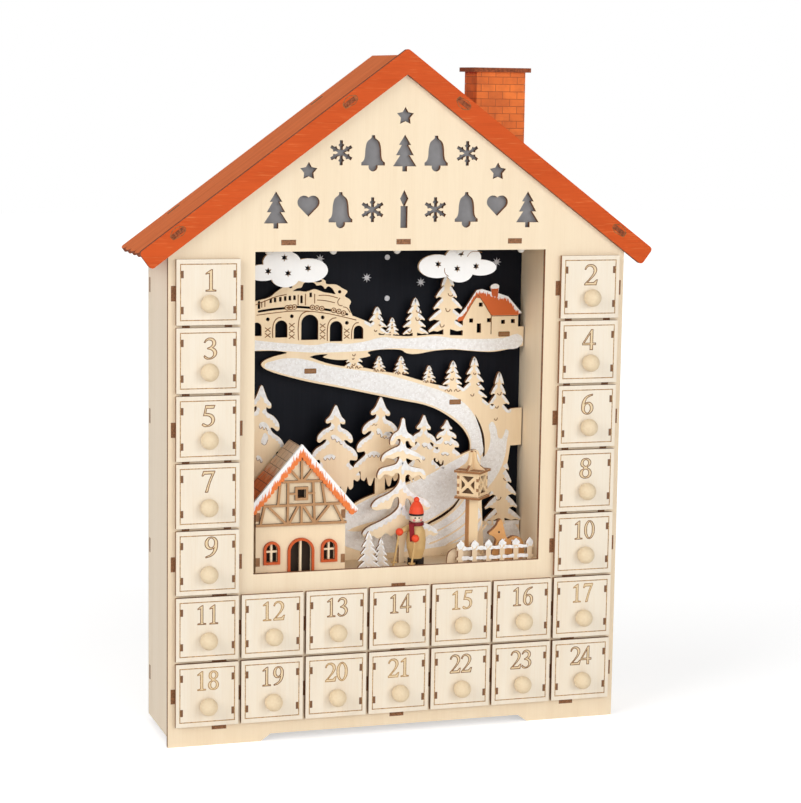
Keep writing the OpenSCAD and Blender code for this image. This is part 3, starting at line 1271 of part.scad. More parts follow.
module battery_cover() {
    cover_d = rim_d + rim_t + cover_gap;
    lip = bay_t + 3 * fit;
    color("dimgray") {
        difference() {
            upright(cover_d, rim_t) area(bay_x0 - rim_w / 2, bay_x1, case_z - bay_h / 2 - rim_w / 2,
                case_z + bay_h / 2 + rim_w / 2);
            upright(cover_d + rim_t / 2, rim_t) translate([(bay_x0 + bay_x1) / 2, case_z + bay_h / 2])
                circle(thumb_r, $fn = 40);
        }
        upright(cover_d - 2 * rim_t, 2 * rim_t + tiny) difference() {
            area(bay_x0 + lip, bay_x1 - lip, case_z - bay_h / 2 + lip, case_z + bay_h / 2 - lip);
            area(bay_x0 + lip + bay_t, bay_x1 - lip - bay_t, case_z - bay_h / 2 + lip + bay_t,
                case_z + bay_h / 2 - lip - bay_t);
        }
    }
}
module light_switch() {
    x = switch_x + 2 * fit;
    color("black") upright(rim_d - rim_t, 2 * rim_t + bay_t)
        area(x, x + slider_w, case_z - slider_h / 2, case_z + slider_h / 2);
}
module batteries() {
    x = (bay_x0 + bay_x1 - battery_len) / 2;
    y = front_y + case_front + bay_t + battery_d / 2 + fit;
    step = battery_d + 3 * fit;
    color("silver") for (i = [-1:1]) translate([x, y, case_z + i * step]) rotate([0, 90, 0]) {
        cylinder(d = battery_d, h = battery_len - terminal_len, $fn = 48);
        cylinder(d = battery_d / 3, h = battery_len, $fn = 24);
    }
}

// Drawer: a front plate, two sides locked through it, a bottom, a back and a knob

module drawer(n) {
    x = cell_x(drawer_col(n));
    z = shelf_z(drawer_row(n)) + front_rise;
    low = shelf_top(drawer_row(n)) + run_gap - z;
    front = -rest_gap - front_t;
    side_mid = (box_w - box_t) / 2;
    inner = side_mid - box_t / 2 - glue;
    translate([x, 0, z]) color("wheat") {
        upright(front, front_t) difference() {
            square([front_w, front_h], center = true);
            for (s = [-1, 1], t = [-1, 1]) translate([s * side_mid, t * box_tenon_z])
                square([box_t + 2 * glue, box_tenon_h + 2 * glue], center = true);
            translate([0, -knob_drop]) circle(d = dowel_d + 2 * glue, $fn = 24);
        }
        for (s = [-1, 1]) sideways(s * side_mid - box_t / 2, box_t) {
            area(glue - rest_gap, box_len - rest_gap, low, low + box_h);
            for (t = [-1, 1]) area(front, tiny - rest_gap + glue, t * box_tenon_z - box_tenon_h / 2,
                t * box_tenon_z + box_tenon_h / 2);
        }
        level(low, box_t) area(-inner, inner, glue - rest_gap, box_len - rest_gap - box_t - glue);
        upright(box_len - rest_gap - box_t, box_t) area(-inner, inner, low, low + box_h - box_t);
        translate([0, front_y + front, -knob_drop]) rotate([90, 0, 0]) knob();
    }
}
// Knob turned from a neck and a ball flattened at its base, on a dowel
neck_share = 0.24;
module knob() {
    ball = knob_d / 2;
    neck = neck_share * knob_len;
    rotate_extrude($fn = 64) polygon(concat([[0, glue - front_t], [dowel_d / 2, glue - front_t],
        [dowel_d / 2, glue], [knob_neck_d / 2, glue], [knob_neck_d / 2, neck]],
        [for (a = [-50:10:90]) [ball * cos(a), knob_len - ball + ball * sin(a)]]));
}

front_panel();
back_panel();
left_side();
right_side();
base_board();
shelves();
column_shelves();
drawer_dividers();
niche_walls();
attic_floor();
stage_floor();
light_films();
roof_left();
roof_right();
bargeboard();
chimney_walls();
chimney_cap();
clouds();
landscape_board();
forest_board();
near_fir();
house_walls();
house_timbering();
house_roof();
house_bargeboard();
house_trims();
lantern();
skier();
deer();
fence();
little_firs();
light_strip();
battery_case();
battery_cover();
light_switch();
batteries();
for (n = [1:drawers]) drawer(n);
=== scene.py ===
# Wooden advent calendar: a plywood house with numbered drawers round a winter scene.
# Each section below is one piece, in the order in which the house is put together.
import math
import random

import bmesh
import bpy
from mathutils import Matrix, Vector


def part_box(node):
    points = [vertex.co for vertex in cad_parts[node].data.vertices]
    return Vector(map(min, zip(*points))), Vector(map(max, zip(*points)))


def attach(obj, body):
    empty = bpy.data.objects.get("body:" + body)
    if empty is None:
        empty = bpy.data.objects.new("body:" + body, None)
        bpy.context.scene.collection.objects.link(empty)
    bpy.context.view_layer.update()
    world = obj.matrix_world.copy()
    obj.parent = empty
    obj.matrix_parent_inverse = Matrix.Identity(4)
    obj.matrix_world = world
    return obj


# Front panel. One sheet of pale basswood plywood, laser-cut: every cut edge is scorched brown,
# and the tenons of the shelves and sides come through its slots.
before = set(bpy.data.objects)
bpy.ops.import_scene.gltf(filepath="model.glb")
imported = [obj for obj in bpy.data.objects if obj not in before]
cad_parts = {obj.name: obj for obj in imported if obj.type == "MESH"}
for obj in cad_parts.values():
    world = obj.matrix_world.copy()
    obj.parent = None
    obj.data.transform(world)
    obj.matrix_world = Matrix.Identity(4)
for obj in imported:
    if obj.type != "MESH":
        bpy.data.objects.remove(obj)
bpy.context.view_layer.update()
MM = 0.001
NO_AXIS, AXIS_X, AXIS_Y, AXIS_Z = (0, 0, 0), (1, 0, 0), (0, 1, 0), (0, 0, 1)
VALUE_OUTPUTS = ("DOT_PRODUCT", "DISTANCE", "LENGTH")


def add_node(tree, kind, inputs=None, **settings):
    """A node with its settings, and its inputs as values or as sockets to link."""
    node = tree.nodes.new(kind)
    for name, value in settings.items():
        setattr(node, name, value)
    for key, value in (inputs or {}).items():
        if isinstance(value, bpy.types.NodeSocket):
            tree.links.new(value, node.inputs[key])
        else:
            node.inputs[key].default_value = value
    return node


def new_group(name, inputs, **outputs):
    """An empty node group with named sockets; an output is given by its kind of socket."""
    tree = bpy.data.node_groups.new(name, "ShaderNodeTree")
    for title, value in inputs.items():
        kind = "Float"
        if isinstance(value, tuple):
            kind = "Color" if len(value) == 4 else "Vector"
        tree.interface.new_socket(title, in_out="INPUT", socket_type="NodeSocket" + kind).default_value = value
    for title, kind in outputs.items():
        tree.interface.new_socket(title, in_out="OUTPUT", socket_type="NodeSocket" + kind)
    return tree, tree.nodes.new("NodeGroupInput").outputs, tree.nodes.new("NodeGroupOutput").inputs


def use_group(tree, group, **inputs):
    inputs = {key.replace("_", " "): value for key, value in inputs.items()}
    return add_node(tree, "ShaderNodeGroup", inputs, node_tree=group).outputs


def math_node(tree, operation, *values, clamp=False):
    inputs = dict(enumerate(values))
    return add_node(tree, "ShaderNodeMath", inputs, operation=operation, use_clamp=clamp).outputs[0]


def times(tree, first, second):
    return math_node(tree, "MULTIPLY", first, second)


def minus(tree, first, second):
    return math_node(tree, "SUBTRACT", first, second)


def vector_node(tree, operation, *values, **inputs):
    node = add_node(tree, "ShaderNodeVectorMath", {**dict(enumerate(values)), **inputs}, operation=operation)
    return node.outputs["Value" if operation in VALUE_OUTPUTS else "Vector"]


def mix_colors(tree, factor, first, second):
    return add_node(tree, "ShaderNodeMix", {0: factor, 6: first, 7: second}, data_type="RGBA").outputs[2]


def ramp(tree, factor, low, high):
    """A value stretched so that low gives 0 and high gives 1."""
    inputs = {"Value": factor, "From Min": low, "From Max": high}
    return add_node(tree, "ShaderNodeMapRange", inputs, clamp=True).outputs[0]


def object_place(tree, stretch=None):
    """The place on the piece, stretched along each axis where that is given."""
    place = add_node(tree, "ShaderNodeTexCoord").outputs["Object"]
    return vector_node(tree, "MULTIPLY", place, stretch) if stretch else place


def split(tree, place):
    return add_node(tree, "ShaderNodeSeparateXYZ", {0: place}).outputs


def noise(tree, place, scale=1.0, detail=2.0, **inputs):
    inputs = {"Vector": place, "Scale": scale, "Detail": detail, **inputs}
    return add_node(tree, "ShaderNodeTexNoise", inputs).outputs[0]


def make_plywood_group():
    """Bare plywood: grain along one direction on its faces, and scorched brown cut edges."""
    tree, given, out = new_group(
        "Cut plywood",
        {"Face": (0.86, 0.71, 0.51, 1), "Grain": (0.72, 0.54, 0.34, 1), "Burn": (0.16, 0.07, 0.03, 1),
         "Plate Axis": AXIS_Y, "Second Axis": NO_AXIS, "Grain Scale": (500, 500, 22), "Streaks": 0.5},
        Color="Color", Roughness="Float", Height="Float", Edge="Float")
    place = add_node(tree, "ShaderNodeTexCoord").outputs
    stretched = vector_node(tree, "MULTIPLY", place["Object"], given["Grain Scale"])
    fine = noise(tree, stretched, 1.6, 4, Roughness=0.65)
    broad = noise(tree, stretched, 0.16, 3, Distortion=0.6)
    streaks = ramp(tree, fine, 0.46, 0.76)
    bands = ramp(tree, broad, 0.4, 0.75)
    both = math_node(tree, "MULTIPLY_ADD", streaks, 0.55, times(tree, bands, 0.6))
    grain = math_node(tree, "MULTIPLY", both, given["Streaks"], clamp=True)
    face = mix_colors(tree, grain, given["Face"], given["Grain"])
    along, across = (math_node(tree, "ABSOLUTE", vector_node(tree, "DOT_PRODUCT", place["Normal"], given[axis]))
                     for axis in ("Plate Axis", "Second Axis"))
    edge = math_node(tree, "LESS_THAN", math_node(tree, "MAXIMUM", along, across), 0.7)
    scorch = noise(tree, place["Object"], 900)
    paler = vector_node(tree, "SCALE", given["Burn"], Scale=2.3)
    burnt = mix_colors(tree, ramp(tree, scorch, 0.35, 0.7), given["Burn"], paler)
    tree.links.new(mix_colors(tree, edge, face, burnt), out["Color"])
    tree.links.new(math_node(tree, "MULTIPLY_ADD", grain, 0.12, 0.5), out["Roughness"])
    tree.links.new(minus(tree, 1.0, grain), out["Height"])
    tree.links.new(edge, out["Edge"])
    return tree


cut_plywood = make_plywood_group()


def new_material(name, roughness=0.5, gloss=0.25, **settings):
    """A material with only its shader, whose plain values are set on the shader itself."""
    material = bpy.data.materials.new(name)
    material.use_nodes = True
    shader = material.node_tree.nodes["Principled BSDF"]
    shader.inputs["Roughness"].default_value = roughness
    shader.inputs["Specular IOR Level"].default_value = gloss
    for key, value in settings.items():
        shader.inputs[key.replace("_", " ")].default_value = value
    return material, material.node_tree, shader.inputs


def finish_surface(tree, shader, color, height=None, strength=0.1, depth=0.0002, roughness=None):
    tree.links.new(color, shader["Base Color"])
    if roughness is not None:
        tree.links.new(roughness, shader["Roughness"])
    if height is not None:
        bump = add_node(tree, "ShaderNodeBump", {"Height": height, "Strength": strength, "Distance": depth})
        tree.links.new(bump.outputs[0], shader["Normal"])


GRAIN_UP = (520.0, 520.0, 20.0)
GRAIN_ACROSS = (20.0, 520.0, 520.0)
GRAIN_DEEP = (520.0, 24.0, 520.0)


def plywood(name, axis, grain, **values):
    """A material of bare plywood for one plate."""
    material, tree, shader = new_material(name)
    wood = use_group(tree, cut_plywood, Plate_Axis=axis, Grain_Scale=grain, **values)
    finish_surface(tree, shader, wood["Color"], wood["Height"], roughness=wood["Roughness"])
    return material


def mottled(name, scale, first, second, detail=2.0, low=0.0, high=1.0, stretch=None, bump=0, **settings):
    """A material that wanders between two colours."""
    material, tree, shader = new_material(name, **{"roughness": 0.7, **settings})
    dabs = noise(tree, object_place(tree, stretch), scale, detail)
    color = mix_colors(tree, ramp(tree, dabs, low, high), first, second)
    finish_surface(tree, shader, color, dabs if bump else None, bump)
    return material


def dress(node, material):
    """Gives a CAD node its material."""
    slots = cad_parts[node].data.materials
    slots.clear()
    slots.append(material)


dress("front_panel", plywood("pale front plywood", AXIS_Y, GRAIN_UP, Streaks=0.34))

# Back panel. The same plywood, painted near-black inside the niche as the night sky,
# with stars and dots cut through it.
front_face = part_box("front_panel")[0][1]
NICHE_LOW, NICHE_HIGH = 104.6 * MM, 337.5 * MM
NICHE_HALF = 110.8 * MM
BACK_DEPTH = 66.5
back_face = front_face + BACK_DEPTH * MM
GREY = (0.8, 0.8, 0.8, 1)


def make_box_group():
    """Paint inside a box, over the colour below it."""
    sockets = {"Below": GREY, "Paint": GREY, "Low": NO_AXIS, "High": (1, 1, 1)}
    tree, given, out = new_group("Painted box", sockets, Color="Color", Mask="Float")
    middle = vector_node(tree, "SCALE", vector_node(tree, "ADD", given["Low"], given["High"]), Scale=0.5)
    half = vector_node(tree, "SUBTRACT", given["High"], middle)
    away = vector_node(tree, "ABSOLUTE", vector_node(tree, "SUBTRACT", object_place(tree), middle))
    parts = split(tree, vector_node(tree, "SUBTRACT", half, away))
    least = math_node(tree, "MINIMUM", math_node(tree, "MINIMUM", parts[0], parts[1]), parts[2])
    mask = math_node(tree, "GREATER_THAN", least, 0.0)
    tree.links.new(mask, out["Mask"])
    tree.links.new(mix_colors(tree, mask, given["Below"], given["Paint"]), out["Color"])
    return tree


painted_box = make_box_group()


def paint_box(tree, color, paint, low, high):
    return use_group(tree, painted_box, Below=color, Paint=paint, Low=low, High=high)["Color"]


material, tree, shader = new_material("night sky on plywood", gloss=0.1)
wood = use_group(tree, cut_plywood, Grain_Scale=GRAIN_UP)
night = use_group(tree, cut_plywood, Grain_Scale=GRAIN_UP, Face=(0.005, 0.006, 0.010, 1),
                  Grain=(0.013, 0.015, 0.022, 1), Burn=(0.01, 0.008, 0.006, 1))
color = paint_box(tree, wood["Color"], night["Color"], (-NICHE_HALF, back_face - MM, NICHE_LOW),
                  (NICHE_HALF, back_face + 3 * MM, NICHE_HIGH))
finish_surface(tree, shader, color, wood["Height"], roughness=wood["Roughness"])
dress("back_panel", material)

# Sides, shelves, dividers and floors. All of the same sheet: their edges and the ends of
# their tenons are scorched. The outer sides get a face a little greyer and paler than the front's, and the niche
# walls a paler one too: painted light, for how each is lit.
# Painted light: the sides' face is set greyer and paler than the front's, for the light that falls on them.
SIDE_FACE_PAINTED_LIGHT = (0.90, 0.77, 0.61, 1)
for node in ("left_side", "right_side"):
    dress(node, plywood(node.replace("_", " ") + " plywood", AXIS_X, GRAIN_UP, Face=SIDE_FACE_PAINTED_LIGHT, Streaks=0.3))
# Painted light: the niche walls' face is set paler than the front's, against the shade inside the niche.
dress("niche_walls", plywood("niche wall plywood", AXIS_X, GRAIN_UP, Face=(0.95, 0.80, 0.59, 1), Streaks=0.3))
dress("drawer_dividers", plywood("divider plywood", AXIS_X, GRAIN_DEEP))
level_plywood = plywood("shelf plywood", AXIS_Z, GRAIN_ACROSS)
for node in ("base_board", "shelves", "column_shelves", "attic_floor", "stage_floor"):
    dress(node, level_plywood)

# Light films. Grey translucent sheets glued behind the cut-outs of the gable and the sky,
# faintly mottled; the one behind the sky has a painted glow, a grey emission standing in for daylight shining
# through it from behind.
material = mottled("grey film", 160, (0.19, 0.185, 0.19, 1), (0.29, 0.285, 0.29, 1), 3, bump=0.05,
                   roughness=0.55)
tree, shader = material.node_tree, material.node_tree.nodes["Principled BSDF"].inputs
# Painted glow: inside the niche the film gets a grey emission, standing in for daylight shining through it from
# behind.
behind = paint_box(tree, (0, 0, 0, 1), (0.42, 0.42, 0.44, 1), (-NICHE_HALF, back_face, NICHE_LOW),
                   (NICHE_HALF, back_face + 9 * MM, NICHE_HIGH))
tree.links.new(behind, shader["Emission Color"])
shader["Emission Strength"].default_value = 1.0
dress("light_films", material)

# Roof sheets and bargeboard. Plywood with an orange stain: the grain shows through darker
# and paler, and the cut edges are deep brown-orange.
PITCH = math.radians(36.6)
ROOF_FACE = (0.86, 0.20, 0.048, 1)
ROOF_GRAIN = (0.58, 0.11, 0.026, 1)
ROOF_BURN = (0.16, 0.04, 0.014, 1)


def stained(name, axis, grain, face, dark):
    """A stained plate, with pale scratches along its grain."""
    material, tree, shader = new_material(name, gloss=0.12)
    wood = use_group(tree, cut_plywood, Plate_Axis=axis, Grain_Scale=grain, Face=face, Grain=dark,
                     Burn=ROOF_BURN, Streaks=0.7)
    lines = noise(tree, object_place(tree, [2.4 * g for g in grain]))
    scratch = times(tree, ramp(tree, lines, 0.6, 0.74), 0.35)
    color = mix_colors(tree, scratch, wood["Color"], (0.90, 0.32, 0.10, 1))
    finish_surface(tree, shader, color, wood["Height"], 0.2, roughness=wood["Roughness"])
    return material


for node, side in (("roof_left", -1), ("roof_right", 1)):
    dress(node, stained(node.replace("_", " ") + " stain", (side * math.sin(PITCH), 0, math.cos(PITCH)),
                        (30.0, 520.0, 30.0), ROOF_FACE, ROOF_GRAIN))
dress("bargeboard", stained("bargeboard stain", AXIS_Y, (24.0, 500.0, 500.0), (0.61, 0.088, 0.013, 1),
                            (0.44, 0.055, 0.008, 1)))

# Chimney. Four walls joined by fingers, brown-orange, with rows of bricks scorched in,
# under a stained cap.
BRICK_H = 5 * MM
material, tree, shader = new_material("brick chimney", roughness=0.55)
place = object_place(tree)
parts = split(tree, place)
both_ways = math_node(tree, "ADD", parts[0], parts[1])
round_corner = add_node(tree, "ShaderNodeCombineXYZ", {0: both_ways, 1: parts[2]})
bricks = add_node(tree, "ShaderNodeTexBrick", {
    "Vector": round_corner.outputs[0], "Scale": 1.0, "Mortar Size": 0.0002, "Mortar Smooth": 0.2, "Bias": 0.0,
    "Brick Width": 0.0105, "Row Height": BRICK_H, "Color1": (0.86, 0.20, 0.03, 1),
    "Color2": (0.72, 0.155, 0.022, 1), "Mortar": (0.36, 0.085, 0.022, 1)})
soot = noise(tree, place, 120, 4)
shade = mix_colors(tree, times(tree, ramp(tree, soot, 0.4, 0.75), 0.45), bricks.outputs["Color"],
                   (0.34, 0.07, 0.018, 1))
finish_surface(tree, shader, shade, minus(tree, 1.0, bricks.outputs["Fac"]), 0.5, 0.0004)
dress("chimney_walls", material)
dress("chimney_cap", stained("chimney cap stain", AXIS_Z, (40.0, 500.0, 40.0), (0.62, 0.16, 0.05, 1),
                             (0.42, 0.09, 0.025, 1)))

# Clouds. Board painted white on its face, with six-point stars cut through and a few
# scorched curls.
WHITE_PAINT = (0.92, 0.91, 0.89, 1)
SCORCH = (0.17, 0.07, 0.022, 1)
white_paint, tree, shader = new_material("white paint on board", roughness=0.6)
paint = use_group(tree, cut_plywood, Face=WHITE_PAINT, Grain=(0.84, 0.82, 0.79, 1), Burn=(0.42, 0.31, 0.2, 1),
                  Streaks=0.25)
finish_surface(tree, shader, paint["Color"], paint["Height"], 0.05)
dress("clouds", white_paint)
scorch_line = mottled("scorched line", 700, SCORCH, (0.36, 0.17, 0.06, 1), low=0.35, high=0.7)


def depth_y(depth):
    """The place of a depth in millimetres behind the front panel's face."""
    return front_face + depth * MM


def on_board(depth, across=1, up=1, through=1, flat=True):
    """Puts a drawing in millimetres on a board's face; a flat one is turned upright first."""
    turned = Matrix.Rotation(math.pi / 2, 4, "X") if flat else Matrix.Identity(4)
    sized = Matrix.Diagonal((MM * across, MM * up, MM * through, 1))
    return Matrix.Translation((0, depth_y(depth), 0)) @ turned @ sized


def add_piece(name, mesh, material, body="case"):
    """Puts a finished mesh in the scene, riding on a body."""
    mesh.materials.clear()
    mesh.materials.append(material)
    piece = bpy.data.objects.new(name, mesh)
    bpy.context.scene.collection.objects.link(piece)
    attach(piece, body)


def place_curve(curve, name, matrix, body, material):
    """Makes a curve a mesh and puts it in its place."""
    holder = bpy.data.objects.new(name + "_curve", curve)
    bpy.context.scene.collection.objects.link(holder)
    mesh = bpy.data.meshes.new_from_object(holder.evaluated_get(bpy.context.evaluated_depsgraph_get()))
    bpy.data.objects.remove(holder)
    mesh.transform(matrix)
    add_piece(name, mesh, material, body)


LINE_RADIUS = 0.34


def scorched_lines(name, lines, depth, radius=LINE_RADIUS):
    """Lines scorched into a board's face, from points in millimetres across and up."""
    curve = bpy.data.curves.new(name, "CURVE")
    curve.dimensions = "3D"
    curve.bevel_depth = radius
    curve.bevel_resolution = 1
    curve.resolution_u = 3
    for points in lines:
        spline = curve.splines.new("BEZIER" if len(points) > 2 else "POLY")
        spots = spline.bezier_points if len(points) > 2 else spline.points
        spots.add(len(points) - 1)
        for spot, (x, z) in zip(spots, points):
            spot.co = (x, 0, z) if len(points) > 2 else (x, 0, z, 1)
            if len(points) > 2:
                spot.handle_left_type = spot.handle_right_type = "AUTO"
    place_curve(curve, name, on_board(depth, 1, 0.25, 1, flat=False), "case", scorch_line)


SCENE_W, SCENE_H = 219.5, 229.3
SCENE_LOW, STAND_Z = 108.15, 112.05


def at(x, z):
    """Millimetres across and up of a place given in thousandths of the scene's width and height."""
    return (x / 1000 - 0.5) * SCENE_W, SCENE_LOW + z / 1000 * SCENE_H


def at_all(places):
    return [at(*place) for place in places]


CURLS = [[(740, 955), (752, 968), (775, 970), (790, 967)], [(666, 921), (666, 911), (671, 902), (680, 896)]]
CLOUD_DEPTH = 20
scorched_lines("cloud_curls", [at_all(curl) for curl in CURLS], CLOUD_DEPTH, 0.25)

# Landscape board. Bare board with the railway bridge, the cottage and the road cut out,
# snow painted on its firs and glitter snow along the road.
FAR_FIRS = [
    (499, 700, 792, 78), (550, 700, 758, 50), (627, 695, 818, 90), (735, 695, 894, 130), (424, 600, 676, 66),
    (508, 588, 640, 50), (582, 578, 638, 56), (677, 550, 607, 52), (759, 520, 620, 78), (832, 490, 631, 90),
    (919, 400, 582, 100), (937, 90, 320, 135)]
LANDSCAPE_DEPTH = 57
SNOW = (0.91, 0.90, 0.885, 1)


def scene_wood(name):
    return plywood(name, AXIS_Y, GRAIN_UP, Face=(0.94, 0.76, 0.52, 1), Grain=(0.80, 0.58, 0.35, 1), Streaks=0.45)


dress("landscape_board", scene_wood("landscape board"))
snow_paint = mottled("snow paint", 380, SNOW, (0.74, 0.71, 0.68, 1), 3, 0.4, 0.75, roughness=0.6, bump=0.12)


def front_loops(node, depth):
    """The outlines of a board's front face, in millimetres across and up, with the board on their left."""
    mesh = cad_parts[node].data
    follows = {}
    for triangle in mesh.polygons:
        if triangle.normal.y > -0.99 or abs(triangle.center.y - depth_y(depth)) > 0.05 * MM:
            continue
        corners = [mesh.vertices[i].co for i in triangle.vertices]
        corners = [(round(spot.x / MM, 3), round(spot.z / MM, 3)) for spot in corners]
        for start, end in zip(corners, corners[1:] + corners[:1]):
            follows.setdefault(start, set()).add(end)
    for start in list(follows):
        for end in list(follows[start]):
            if start in follows.get(end, ()):
                follows[start].discard(end)
                follows[end].discard(start)
    loops = []
    while any(follows.values()):
        start = next(spot for spot in follows if follows[spot])
        loop = [start]
        while follows[loop[-1]]:
            loop.append(follows[loop[-1]].pop())
        loops.append(loop)
    return loops


def upper_runs(loops, boxes):
    """The stretches of these outlines that face upwards inside any of the boxes."""
    runs = []
    for loop in loops:
        chosen = []
        for (x0, z0), (x1, z1) in zip(loop, loop[1:]):
            up = (x0 - x1) / max(math.hypot(x1 - x0, z1 - z0), 0.001)
            x, z = (x0 + x1) / 2, (z0 + z1) / 2
            chosen.append(up > 0.12 and any(b[0] < x < b[1] and b[2] < z < b[3] for b in boxes))
        if True not in chosen:
            continue
        first = next((i for i in range(len(chosen)) if chosen[i] and not chosen[i - 1]), 0)
        run = []
        for i in list(range(first, len(chosen))) + list(range(first)):
            if chosen[i]:
                run = (run or [loop[i]]) + [loop[i + 1]]
            elif run:
                runs.append(run)
                run = []
        if run:
            runs.append(run)
    return runs


def spaced(run, step):
    """The same run with its points a step apart."""
    lengths = [math.dist(p, q) for p, q in zip(run, run[1:])]
    count = max(3, round(sum(lengths) / step))
    points, i, passed = [], 0, 0.0
    for k in range(count + 1):
        goal = sum(lengths) * k / count
        while i < len(lengths) - 1 and passed + lengths[i] < goal:
            passed += lengths[i]
            i += 1
        share = min(1.0, (goal - passed) / max(lengths[i], 0.001))
        points.append(tuple(a + (b - a) * share for a, b in zip(run[i], run[i + 1])))
    return points


def mesh_of(name, shape):
    mesh = bpy.data.meshes.new(name)
    shape.to_mesh(mesh)
    shape.free()
    return mesh


SNOW_LIFT, SNOW_INSET, SNOW_STEP = 0.12, 0.15, 0.45


def settled_snow(name, node, depth, boxes, thick, lobe):
    """Snow paint along the upper edges of a board, scalloped below, no thicker than the board allows."""
    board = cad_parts[node]
    shape = bmesh.new()
    done = set()
    for k, run in enumerate(upper_runs(front_loops(node, depth), boxes)):
        points = spaced(run, SNOW_STEP)
        lift = SNOW_LIFT * (1 + 0.2 * (k % 4))
        phase = random.random() * math.pi
        inwards, reach = [], []
        for i, (x, z) in enumerate(points):
            (x0, z0), (x1, z1) = points[max(i - 2, 0)], points[min(i + 2, len(points) - 1)]
            inward = Vector((z0 - z1, x1 - x0)).normalized()
            start = Vector((x + inward.x * 0.05, 0, z + inward.y * 0.05)) * MM
            start.y = depth_y(depth) + MM
            hit, spot, _, _ = board.ray_cast(start, Vector((inward.x, 0, inward.y)))
            room = (spot - start).length / MM if hit else thick
            wave = 0.62 + 0.38 * abs(math.sin(math.pi * i * SNOW_STEP / lobe + phase))
            taper = min(1.0, (i + 1) / 3, (len(points) - i) / 3)
            inwards.append(inward)
            reach.append(min(thick * wave, room * 0.46) * taper)
        last = len(reach) - 1
        reach = [(reach[max(i - 1, 0)] + 2 * r + reach[min(i + 1, last)]) / 4 for i, r in enumerate(reach)]
        rim = [shape.verts.new((x + v.x * SNOW_INSET, 0, z + v.y * SNOW_INSET))
               for (x, z), v in zip(points, inwards)]
        goals = {spot: Vector((v.x, 0, v.y)) * max(r, 0.1) for spot, v, r in zip(rim, inwards, reach)}
        edges = [shape.edges.new(pair) for pair in zip(rim, rim[1:])]
        old = {tuple(spot.co): goals[spot] for spot in rim}
        for item in bmesh.ops.extrude_edge_only(shape, edges=edges)["geom"]:
            if isinstance(item, bmesh.types.BMVert):
                item.co += old[tuple(item.co)]
        laid = [face for face in shape.faces if face not in done]
        for item in bmesh.ops.extrude_face_region(shape, geom=laid)["geom"]:
            if isinstance(item, bmesh.types.BMVert):
                item.co.y -= lift
        done.update(shape.faces)
    bmesh.ops.recalc_face_normals(shape, faces=shape.faces)
    bmesh.ops.transform(shape, matrix=on_board(depth, flat=False), verts=shape.verts)
    add_piece(name, mesh_of(name, shape), snow_paint)


def fir_boxes(firs):
    """Boxes round firs given as place, foot, top and width, in thousandths of the scene."""
    boxes = []
    for place_x, foot, top, width in firs:
        (x0, z0), (x1, z1) = at(place_x - 0.52 * width, foot + 14), at(place_x + 0.52 * width, top + 5)
        boxes.append((x0, x1, z0, z1))
    return boxes


random.seed(24)
settled_snow("far_fir_snow", "landscape_board", LANDSCAPE_DEPTH, fir_boxes(FAR_FIRS[:-1]), 2.3, 1.9)
settled_snow("tall_far_fir_snow", "landscape_board", LANDSCAPE_DEPTH, fir_boxes(FAR_FIRS[-1:]), 3.6, 3.0)


def make_glitter_group():
    """Glitter snow: white grains, with tiny glints painted in: scattered grains coloured pure white and made
    glossier.
    """
    tree, given, out = new_group("Glitter snow", {"Snow": SNOW, "Shade": (0.80, 0.775, 0.75, 1)},
                                 Color="Color", Roughness="Float", Height="Float")
    place = object_place(tree)
    grains = add_node(tree, "ShaderNodeTexVoronoi", {"Vector": place, "Scale": 1500}).outputs
    red = add_node(tree, "ShaderNodeSeparateColor", {0: grains["Color"]}).outputs[0]
    # Painted glints: scattered grains are coloured pure white. The same grains are also made glossier below.
    painted_glint = math_node(tree, "GREATER_THAN", red, 0.9)
    color = mix_colors(tree, ramp(tree, noise(tree, place, 420, 3), 0.42, 0.72), given["Snow"], given["Shade"])
    tree.links.new(mix_colors(tree, painted_glint, color, (1, 1, 1, 1)), out["Color"])
    tree.links.new(math_node(tree, "MULTIPLY_ADD", painted_glint, -0.35, 0.6), out["Roughness"])
    tree.links.new(grains["Distance"], out["Height"])
    return tree


glitter_snow, tree, shader = new_material("glitter snow")
glitter = use_group(tree, make_glitter_group())
finish_surface(tree, shader, glitter["Color"], glitter["Height"], 0.35, 0.0003, glitter["Roughness"])
PAINT_LIFT = 0.12


def closed_curve(name, outlines, smooth=True, **settings):
    """A flat curve through closed outlines in millimetres; a point with a third value is a corner."""
    curve = bpy.data.curves.new(name, "CURVE")
    curve.dimensions = "2D"
    curve.resolution_u = 4
    for key, value in settings.items():
        setattr(curve, key, value)
    for outline in outlines:
        spline = curve.splines.new("BEZIER")
        spline.use_cyclic_u = True
        spline.bezier_points.add(len(outline) - 1)
        for spot, point in zip(spline.bezier_points, outline):
            spot.co = (point[0], point[1], 0)
            corner = not smooth or (len(point) > 2 and point[2])
            spot.handle_left_type = spot.handle_right_type = "VECTOR" if corner else "AUTO"
    return curve


def painted_patch(name, outlines, depth, material, body="case", smooth=True, lift=PAINT_LIFT):
    """A thin skin of paint on a board's face, from closed outlines across and up."""
    curve = closed_curve(name, outlines, smooth, fill_mode="BOTH", extrude=lift)
    place_curve(curve, name, on_board(depth), body, material)


